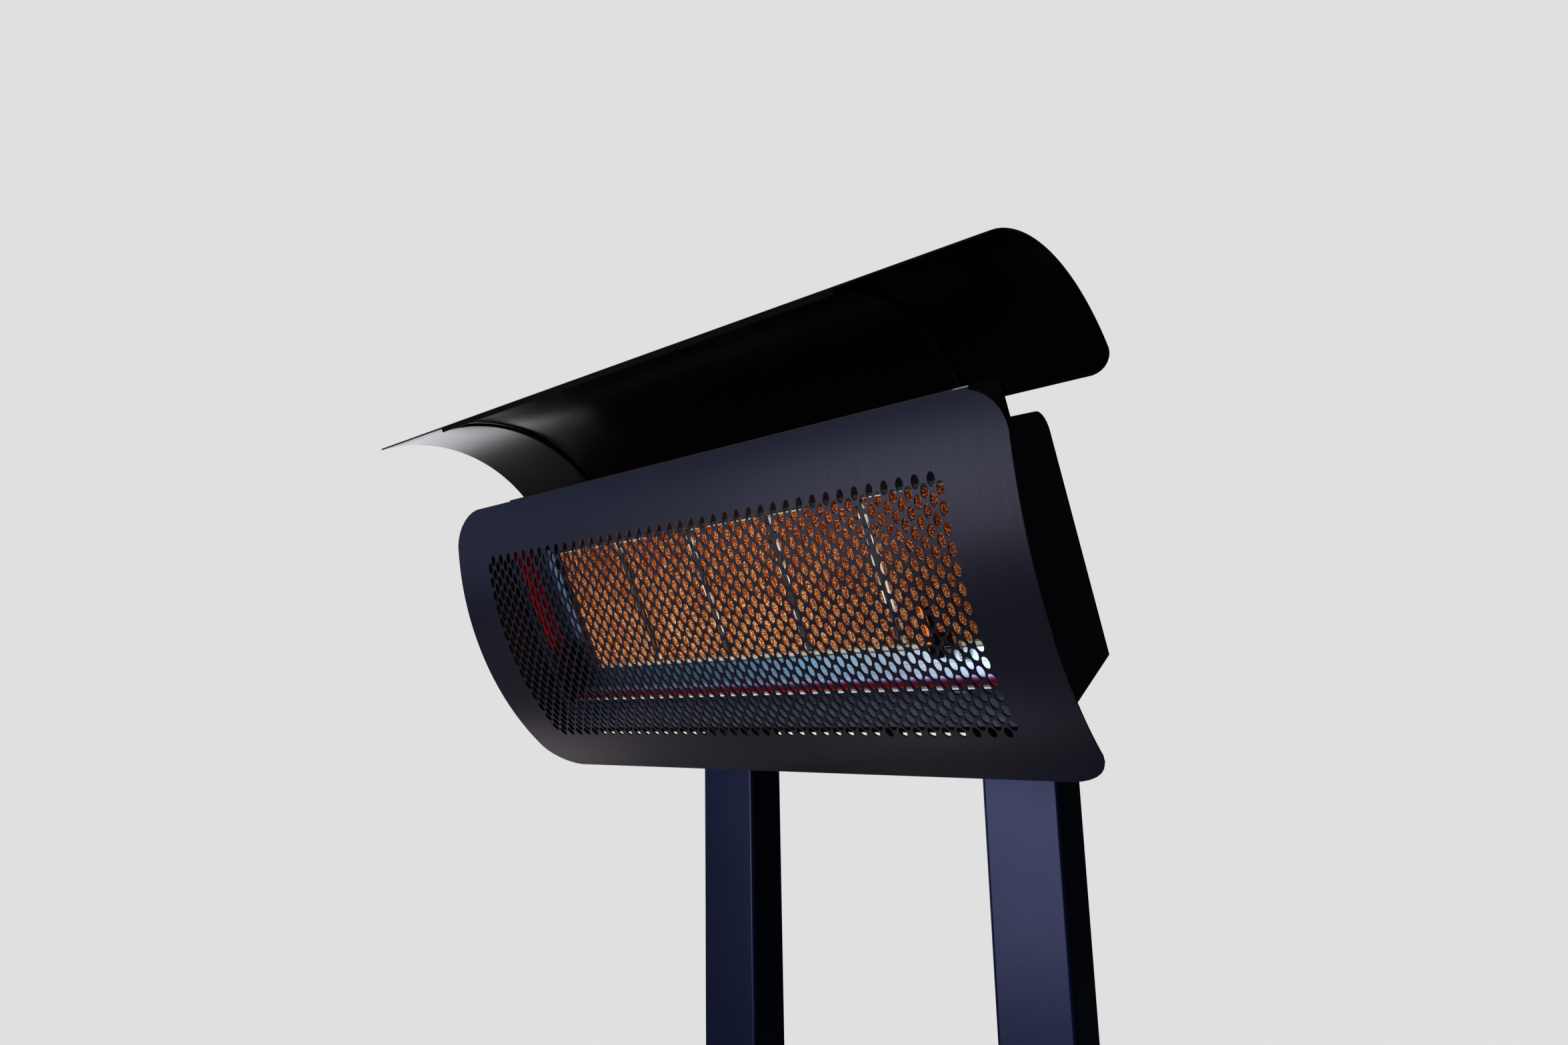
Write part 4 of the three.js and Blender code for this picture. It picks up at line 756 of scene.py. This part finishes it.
# ---- Tile frame --------------------------------------------------------------
# A stainless bottom rail, and dark heat-scaled side rails, top rail and bars between the tiles. Ceramic
# fibre is squeezed out in strips along the bars and under the top rail; it gives off its own cream colour
# as light, as painted glints.
FRAME_HALF_X = 247.7
FRAME_HALF_Z = 72.3
FRAME_RIM = 7.0
FRAME_FRONT_Y = -124.2
FRAME_BACK_Y = -109.2
BAR_HALF = 2.3
FIBRE_HALF = 0.8
FIBRE_PAST_BAR = 0.6
FIBRE_END_GAP = 2.0
FIBRE_TOP_END_GAP = 8.0
FIBRE_FRONT_Y = FRAME_FRONT_Y + 0.4
FIBRE_BACK_Y = FRAME_FRONT_Y + 3

dull_stainless = mottled("dull_stainless", "#e0d6bc", "#bcb5a4", 30.0, 3.0, 0.45, 0.4)
scaled_steel = mottled("heat_scaled_steel", "#0d0d10", "#26242a", 260.0, 3.0, 0.6)

ceramic_fibre_painted_glint, tree, shader, place = new_material("ceramic_fibre_painted_glint")
scorch = add_node(tree, "TexNoise", {"Scale": 38.0, "Detail": 3.0}, {"Vector": place})
burnt = add_node(tree, "MapRange", {"From Min": 0.48, "From Max": 0.58}, {"Value": scorch})
tint = add_node(tree, "Mix", {"data_type": "RGBA", 6: linear("#1d1614"), 7: linear("#e6dcc8")}, {0: burnt})
# Painted glints: the fibre glows with its own colour, though it is no lamp.
set_up(tree, shader, {"Emission Strength": 0.45, "Roughness": 0.95},
       {"Base Color": tint.outputs[2], "Emission Color": tint.outputs[2]})

low_z = TILE_MID.z - FRAME_HALF_Z
high_z = TILE_MID.z + FRAME_HALF_Z
inner_low_z = low_z + FRAME_RIM
inner_high_z = high_z - FRAME_RIM
frame_bm = bmesh.new()
for left, right, bottom, top, index in (
        (-FRAME_HALF_X, FRAME_HALF_X, low_z, inner_low_z, 0),
        (-FRAME_HALF_X, FRAME_HALF_X, inner_high_z, high_z, 1),
        (-FRAME_HALF_X, -FRAME_HALF_X + FRAME_RIM, inner_low_z, inner_high_z, 1),
        (FRAME_HALF_X - FRAME_RIM, FRAME_HALF_X, inner_low_z, inner_high_z, 1)):
    add_box(frame_bm, (left, FRAME_FRONT_Y, bottom), (right, FRAME_BACK_Y, top), 0.5, index)
half = FRAME_HALF_X - FIBRE_TOP_END_GAP
add_box(frame_bm, (-half, FIBRE_FRONT_Y, inner_high_z - 1.2),
        (half, FIBRE_BACK_Y, inner_high_z - 0.1), 0.4, 2)
for i in range(1, TILE_COUNT):
    x = (i - TILE_COUNT / 2) * TILE_PITCH
    add_box(frame_bm, (x - BAR_HALF, FRAME_FRONT_Y, inner_low_z),
            (x + BAR_HALF, FRAME_BACK_Y, inner_high_z), 0.8, 1)
    for way in (-1, 1):
        fibre_x = x + way * (BAR_HALF + FIBRE_PAST_BAR)
        add_box(frame_bm, (fibre_x - FIBRE_HALF, FIBRE_FRONT_Y, inner_low_z + FIBRE_END_GAP),
                (fibre_x + FIBRE_HALF, FIBRE_BACK_Y, inner_high_z - FIBRE_END_GAP), 0.4, 2)
bars = make_piece(frame_bm, "tile_frame_bars", "head", [dull_stainless, scaled_steel, ceramic_fibre_painted_glint],
                  ["tile_frame"])
behind_screen.objects.link(bars)


# ---- Reflectors --------------------------------------------------------------
# Bright-annealed stainless sheet on all four sides of the tiles: a steep flat with a joggle along it, then
# a tight hollow curve to a hemmed front edge, mitred at the corners. Their colours are painted reflections:
# the flat mirrors the room in white and blue, with a painted shadow line at the lower joggle, and the curve
# mirrors the tiles' glow in lavender to red.
REFLECTOR_FLAT = 23.7
REFLECTOR_RADIUS = 10.4
REFLECTOR_SLOPE = math.radians(60)
REFLECTOR_THICK = 1.2
REFLECTOR_START_Y = -125.2
REFLECTOR_HALF_X = 245.7
REFLECTOR_HALF_Z = 68.8
REFLECTOR_JOGGLE = Vector((0, 0.7, -0.4))
REFLECTOR_SPARE = 40.0
HEM = 1.5
SIDE_FLANGE = 9.0
MITRE_GAP = 0.3
PAINTED_REACH_MM = 28.5


def steel_with_painted_reflections(name, stops, near, far, shaded_below_z):
    """Bright steel with painted reflections by millimetres outward from the tiles, painted darker and bluer
    towards the left end, and painted shade below a height.
    """
    material, tree, shader, place = new_material(name)
    ripple = add_node(tree, "TexNoise", {"Scale": 30.0, "Detail": 2.0}, {"Vector": place})
    stretched = add_node(tree, "Mapping", {"Scale": (15.0, 500.0, 500.0)}, {"Vector": place})
    scratch = add_node(tree, "TexNoise", {"Scale": 1.0, "Detail": 3.0}, {"Vector": stretched})
    gloss = add_node(tree, "MapRange", {"To Min": 0.32, "To Max": 0.42}, {"Value": scratch})
    bump = add_node(tree, "Bump", {"Strength": 0.1, "Distance": 0.002}, {"Height": ripple})
    set_up(tree, shader, {}, {"Roughness": gloss, "Normal": bump})
    axes = add_node(tree, "SeparateXYZ", {}, {"Vector": head_millimetres(tree, place)})
    aside = add_node(tree, "Math", {"operation": "ABSOLUTE"}, {0: axes.outputs["X"]})
    past_side = add_node(tree, "Math", {"operation": "SUBTRACT", 1: REFLECTOR_HALF_X}, {0: aside})
    above = add_node(tree, "Math", {"operation": "SUBTRACT", 1: TILE_MID.z}, {0: axes.outputs["Z"]})
    away = add_node(tree, "Math", {"operation": "ABSOLUTE"}, {0: above})
    past_rail = add_node(tree, "Math", {"operation": "SUBTRACT", 1: REFLECTOR_HALF_Z}, {0: away})
    outward = add_node(tree, "Math", {"operation": "MAXIMUM"}, {0: past_side, 1: past_rail})
    reach = add_node(tree, "MapRange", {"From Min": 0.0, "From Max": PAINTED_REACH_MM}, {"Value": outward})
    # Painted reflections by millimetres outward from the tiles.
    reflection_colours = add_node(tree, "ValToRGB", {
        "stops": [(distance / PAINTED_REACH_MM, colour) for distance, colour in stops]}, {"Fac": reach})
    along = add_node(tree, "MapRange", {"From Min": -REFLECTOR_HALF_X, "From Max": REFLECTOR_HALF_X},
                     {"Value": axes.outputs["X"]})
    # Painted reflection of the room on the flat: darker and bluer towards the left end.
    room_reflection_along = add_node(tree, "ValToRGB", {"stops": (
        (0, "#405a6c"), (0.38, "#607e92"), (0.6, "#8aacc0"), (0.78, "#a4a6aa"), (0.9, "#d0d1d4"),
        (1, "#ffffff"))}, {"Fac": along})
    flat_part = add_node(tree, "MapRange", {
        "From Min": near, "From Max": far, "To Min": 1.0, "To Max": 0.0}, {"Value": outward})
    flat_reflection = add_node(tree, "Mix", {"data_type": "RGBA", "blend_type": "MULTIPLY"},
                      {0: flat_part, 6: reflection_colours, 7: room_reflection_along})
    # Painted shade: the colour darkens below a height, where the glow does not reach.
    shade_under = add_node(tree, "MapRange", {
        "From Min": shaded_below_z - 8, "From Max": shaded_below_z + 8, "To Min": 0.06}, {"Value": axes.outputs["Z"]})
    shaded = add_node(tree, "Mix", {"data_type": "RGBA", "blend_type": "MULTIPLY", 0: 1.0},
                      {6: flat_reflection.outputs[2], 7: shade_under})
    set_up(tree, shader, {"Metallic": 0.75}, {"Base Color": shaded.outputs[2]})
    return material


# Painted reflections: white and blue where the flats mirror the room, a dark painted shadow line at the
# lower joggle, lavender to red where the curves mirror the glow; the upper sheet is painted dark as it
# mirrors shade.
painted_reflection_lower = steel_with_painted_reflections("stainless_painted_reflection_lower", (
    (0.0, "#30302f"), (0.5, "#30302f"), (0.7, "#dff2fb"), (10.2, "#dff2fb"), (10.4, "#50545c"),
    (10.8, "#50545c"), (11.0, "#dff2fb"), (19.4, "#b4bcd8"), (21.8, "#6e5488"), (23.7, "#86285c"),
    (24.8, "#c01418"), (25.6, "#c81010"), (25.9, "#fafafa"), (PAINTED_REACH_MM, "#f6f8fa")), 17.0, 22.0, -60.0)
painted_reflection_side = steel_with_painted_reflections("stainless_painted_reflection_side", (
    (0.0, "#b4d4f0"), (5.0, "#90b4d4"), (8.0, "#3c4858"), (18.0, "#2c3644"), (20.0, "#a01420"),
    (21.0, "#e01420"), (25.0, "#d81018"), (25.6, "#141418"), (PAINTED_REACH_MM, "#101014")), -2.0, -1.0, 34.0)
painted_reflection_upper = steel_with_painted_reflections("stainless_painted_reflection_upper", (
    (0.0, "#1c2430"), (PAINTED_REACH_MM, "#101218")), -2.0, -1.0, -60.0)

# The folded hem is bright steel without the painted reflections.
rolled_hem, tree, shader, place = new_material("rolled_hem")
wear = add_node(tree, "TexNoise", {"Scale": 200.0, "Detail": 2.0}, {"Vector": place})
gloss = add_node(tree, "MapRange", {"To Min": 0.3, "To Max": 0.45}, {"Value": wear})
set_up(tree, shader, {"Base Color": linear("#f4f6f8"), "Metallic": 0.8}, {"Roughness": gloss})

for name, steel, turn, half, edging, aside, up in (
        ("lower", painted_reflection_lower, 0, REFLECTOR_HALF_X, (0, 0, -HEM), 0, -REFLECTOR_HALF_Z),
        ("upper", painted_reflection_upper, 180, REFLECTOR_HALF_X, (0, 0, -HEM), 0, REFLECTOR_HALF_Z),
        ("left", painted_reflection_side, 90, REFLECTOR_HALF_Z, (0, -SIDE_FLANGE, 0), -REFLECTOR_HALF_X, 0),
        ("right", painted_reflection_side, -90, REFLECTOR_HALF_Z, (0, -SIDE_FLANGE, 0), REFLECTOR_HALF_X, 0)):
    plate_bm = bmesh.new()
    ends = [plate_bm.verts.new((x, 0, 0)) for x in (-half - REFLECTOR_SPARE, half + REFLECTOR_SPARE)]
    edge = plate_bm.edges.new(ends)
    down = Vector((0, -math.cos(REFLECTOR_SLOPE), -math.sin(REFLECTOR_SLOPE)))
    for fold in (down * REFLECTOR_FLAT / 2, REFLECTOR_JOGGLE, down * REFLECTOR_FLAT / 2):
        edge = add_strip(plate_bm, [edge], fold)[0]
    inwards = Vector((0, -math.sin(REFLECTOR_SLOPE), math.cos(REFLECTOR_SLOPE)))
    centre = edge.verts[0].co + inwards * REFLECTOR_RADIUS
    made = bmesh.ops.spin(plate_bm, geom=[edge], cent=(0, centre.y, centre.z), axis=(1, 0, 0),
                          angle=-REFLECTOR_SLOPE, steps=10)
    last = [item for item in made["geom_last"] if isinstance(item, bmesh.types.BMEdge)]
    add_strip(plate_bm, last, edging)
    for side in (-1, 1):
        trim(plate_bm, (side * (half - MITRE_GAP), 0, 0), (side, 0, 1))
    thicken(plate_bm, REFLECTOR_THICK)
    for face in plate_bm.faces:
        face.material_index = 1 if name == "lower" and abs(face.normal.y) > 0.95 else 0
    place = Matrix.Translation((aside, REFLECTOR_START_Y, TILE_MID.z + up))
    plate_bm.transform(place @ Matrix.Rotation(math.radians(turn), 4, "Y"))
    sheet = make_piece(plate_bm, f"reflector_{name}_sheet", "head", [steel, rolled_hem],
                       [f"reflector_{name}"], sharp=50)
    behind_screen.objects.link(sheet)


# ---- Burner box, mixer and gas fittings --------------------------------------
# Zinc-plated pressings behind the tiles, and turned brass fittings.
zinc_steel = mottled("zinc_plated_steel", "#a4a8ac", "#c2c3bf", 60.0, 5.0, (0.25, 0.5), 1.0)
turned_brass = mottled("turned_brass", "#b8964a", "#d6bd78", 80.0, 4.0, (0.2, 0.42), 1.0)
for node in ("burner_plenum", "plenum_mount", "mixer_tube", "injector_bracket"):
    softened(node, "head", zinc_steel, 0.4)
for node in ("gas_injector", "gas_inlet"):
    softened(node, "head", turned_brass, 0.4)
softened("gas_valve", "stand", turned_brass, 0.5)


# ---- Pilot -------------------------------------------------------------------
# A heat-blackened bracket under the last tile holds the spark electrode and the thermocouple. The
# electrode's brown glazed sleeve reaches down to the reflector's edge, with a coiled lead beside it.
PILOT_SPOT = Vector((185.8, -136.2, 0.9))
STICK_RADIUS = 2.9
COLLAR_RADIUS = 3.9
COLLAR_LOW = 2.0
COLLAR_HIGH = 8.0
LEAD_OFFSET = Vector((19.0, 2.0, -14.0))
COIL_RADIUS = 1.7
WIRE_RADIUS = 0.6
COIL_TURNS = 6
COIL_STEPS = 84
COIL_RISE = 0.17

softened("pilot_bracket", "head", scaled_steel, 0.4)

glazed_porcelain = mottled("brown_glazed_porcelain", "#2a1a14", "#0e0a09", 90.0, 4.0, 0.25)

hot_wire, tree, shader, place = new_material("hot_wire")
heat = add_node(tree, "TexNoise", {"Scale": 150.0}, {"Vector": place})
glow = add_node(tree, "Mix", {"data_type": "RGBA", 6: linear("#e04808"), 7: linear("#ff9a30")}, {0: heat})
set_up(tree, shader, {"Emission Strength": 1.0, "Base Color": linear("#5a3020")},
       {"Emission Color": glow.outputs[2]})


def add_rod(bm, foot, low, high, radius, sides=16):
    """An upright rod with chamfered ends between two heights above a foot."""
    verts = bmesh.ops.create_cone(bm, cap_ends=True, segments=sides, radius1=radius, radius2=radius,
                                  depth=high - low)["verts"]
    rims = [e for e in bm.edges if e.verts[0] in verts and abs(e.verts[0].co.z - e.verts[1].co.z) < 1e-4]
    made = round_edges(bm, rims, radius * 0.2)
    verts = list({v for f in made["faces"] for v in f.verts} | {v for v in verts if v.is_valid})
    bmesh.ops.translate(bm, verts=verts, vec=foot + Vector((0, 0, (low + high) / 2)))


# The electrode: a glazed sleeve with a six-sided collar, and the hot wire that stands out of it.
foot = PILOT_SPOT + Vector((-4.3, 0, 0))
electrode_bm = bmesh.new()
add_rod(electrode_bm, foot, -8, 9, STICK_RADIUS)
add_rod(electrode_bm, foot, COLLAR_LOW, COLLAR_HIGH, COLLAR_RADIUS, 6)
sleeve_faces = len(electrode_bm.faces)
add_rod(electrode_bm, foot, COLLAR_HIGH, 40, 1.0, 10)
electrode_bm.faces.ensure_lookup_table()
for face in electrode_bm.faces[sleeve_faces:]:
    face.material_index = 1
make_piece(electrode_bm, "electrode_stick", "head", [glazed_porcelain, hot_wire],
           ["spark_electrode"])

# The thermocouple: the same collar, with a thinner rod up into the heat.
foot = PILOT_SPOT + Vector((1.7, 0, 0))
thermocouple_bm = bmesh.new()
add_rod(thermocouple_bm, foot, -10, 10, STICK_RADIUS)
add_rod(thermocouple_bm, foot, COLLAR_LOW, COLLAR_HIGH, COLLAR_RADIUS, 6)
add_rod(thermocouple_bm, foot, COLLAR_HIGH, 34, 2.4, 12)
make_piece(thermocouple_bm, "thermocouple_stick", "head", glazed_porcelain, ["thermocouple"])

# The electrode's lead, wound into a coil.
lead_bm = bmesh.new()
centre = PILOT_SPOT + LEAD_OFFSET
ring = bmesh.ops.create_circle(lead_bm, segments=8, radius=WIRE_RADIUS)["verts"]
bmesh.ops.rotate(lead_bm, verts=ring, cent=(0, 0, 0), matrix=Matrix.Rotation(math.pi / 2, 3, "X"))
bmesh.ops.translate(lead_bm, verts=ring, vec=centre + Vector((COIL_RADIUS, 0, 0)))
bmesh.ops.spin(lead_bm, geom=lead_bm.edges[:] + ring, cent=centre, axis=(0, 0, 1), steps=COIL_STEPS,
               dvec=(0, 0, COIL_RISE), angle=2 * math.pi * COIL_TURNS)
bmesh.ops.holes_fill(lead_bm, edges=[e for e in lead_bm.edges if e.is_boundary], sides=0)
bmesh.ops.recalc_face_normals(lead_bm, faces=lead_bm.faces)
make_piece(lead_bm, "electrode_lead_coil", "head", zinc_steel)


# ---- Posts and cross bars ----------------------------------------------------
# Rectangular steel tube with rolled corners, painted blue-black; each stands on a welded foot plate
# with two bolts.
post_paint = powder_coat("post_powder_coat", "#20294a", "#1a2240", 0.30, 0.8, 0.5)
POST_CORNER = 4.5
POST_HALF_X = 37.4
POST_HALF_Y = 25.4
FOOT_PLATE_MM = 6.0
BOLT_RADIUS = 8.0
BOLT_HEIGHT = 6.0
BOLT_PAST_POST = 11.0

for node in ("post_left", "post_right"):
    low, high = (Vector(corner) * 1000 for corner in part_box(node))
    middle_x = (low.x + high.x) / 2
    post_bm = bmesh.new()
    add_box(post_bm, (middle_x - POST_HALF_X, low.y, low.z),
            (middle_x + POST_HALF_X, low.y + 2 * POST_HALF_Y, high.z))
    upright = [e for e in post_bm.edges if abs(e.verts[0].co.z - e.verts[1].co.z) > 10]
    round_edges(post_bm, upright, POST_CORNER, 5)
    add_box(post_bm, low, (high.x, high.y, low.z + FOOT_PLATE_MM), 1.0)
    for way in (-1, 1):
        bolt = bmesh.ops.create_cone(post_bm, cap_ends=True, segments=6, radius1=BOLT_RADIUS,
                                     radius2=0.9 * BOLT_RADIUS, depth=BOLT_HEIGHT)["verts"]
        bolt_x = middle_x + way * (POST_HALF_X + BOLT_PAST_POST)
        bolt_z = low.z + FOOT_PLATE_MM + BOLT_HEIGHT / 2
        bmesh.ops.translate(post_bm, verts=bolt, vec=(bolt_x, low.y + POST_HALF_Y, bolt_z))
    post = make_piece(post_bm, f"{node}_tube", "stand", post_paint, [node], MILLIMETRES)
    posts_only.objects.link(post)
for node in ("cross_bar_upper", "cross_bar_lower"):
    softened(node, "stand", post_paint, 1.5)


# ---- Base, cabinet and hardware ----------------------------------------------
# A heavy base plate with axle lugs, and a folded steel cabinet with a louvred door on pin hinges.
cabinet_paint = powder_coat("cabinet_powder_coat", "#1b1d26", "#14161d", 0.4, 0.9)
for node, body, width in (("base_plate", "stand", 1.5), ("cabinet_shell", "stand", 0.7),
                          ("cabinet_deck", "stand", 0.8), ("cabinet_door", "cabinet_door", 0.9)):
    low_pieces.objects.link(softened(node, body, cabinet_paint, width))
low_pieces.objects.link(softened("door_latch", "door_latch", zinc_steel, 0.8))
for node in ("axle", "door_hinge_lower", "door_hinge_upper"):
    low_pieces.objects.link(softened(node, "stand", zinc_steel, 0.4))
for node in ("pivot_bolt_left", "pivot_bolt_right"):
    softened(node, "stand", zinc_steel, 0.4)


# ---- Moulded parts -----------------------------------------------------------
# Glass-filled nylon knobs, caps and bezel with a fine spark-eroded grain, and rubber feet and tyres.
moulded_nylon, tree, shader, place = new_material("moulded_nylon")
grit = add_node(tree, "TexNoise", {"Scale": 1400.0, "Detail": 2.0}, {"Vector": place})
gloss = add_node(tree, "MapRange", {"To Min": 0.42, "To Max": 0.6}, {"Value": grit})
bump = add_node(tree, "Bump", {"Strength": 0.2, "Distance": 0.0003}, {"Height": grit})
set_up(tree, shader, {"Base Color": linear("#191a1d")}, {"Roughness": gloss, "Normal": bump})

for node, body, width in (
        ("post_cap_left", "stand", 1.0), ("post_cap_right", "stand", 1.0),
        ("tilt_knob_left", "tilt_knob_left", 1.5), ("tilt_knob_right", "tilt_knob_right", 1.5)):
    softened(node, body, moulded_nylon, width)
for node, body, width in (("gas_knob", "gas_knob", 1.5), ("igniter_bezel", "stand", 0.8),
                          ("igniter_button", "igniter_button", 1.2), ("igniter_module", "stand", 1.0)):
    low_pieces.objects.link(softened(node, body, moulded_nylon, width))

tyre_rubber = mottled("tyre_rubber", "#151515", "#262524", 35.0, 5.0, (0.65, 0.9))
for node in ("foot_front_left", "foot_front_right", "foot_rear_left", "foot_rear_right"):
    low_pieces.objects.link(softened(node, "stand", tyre_rubber, 1.5))
for node in ("wheel_left", "wheel_right"):
    low_pieces.objects.link(softened(node, node, tyre_rubber, 1.0))
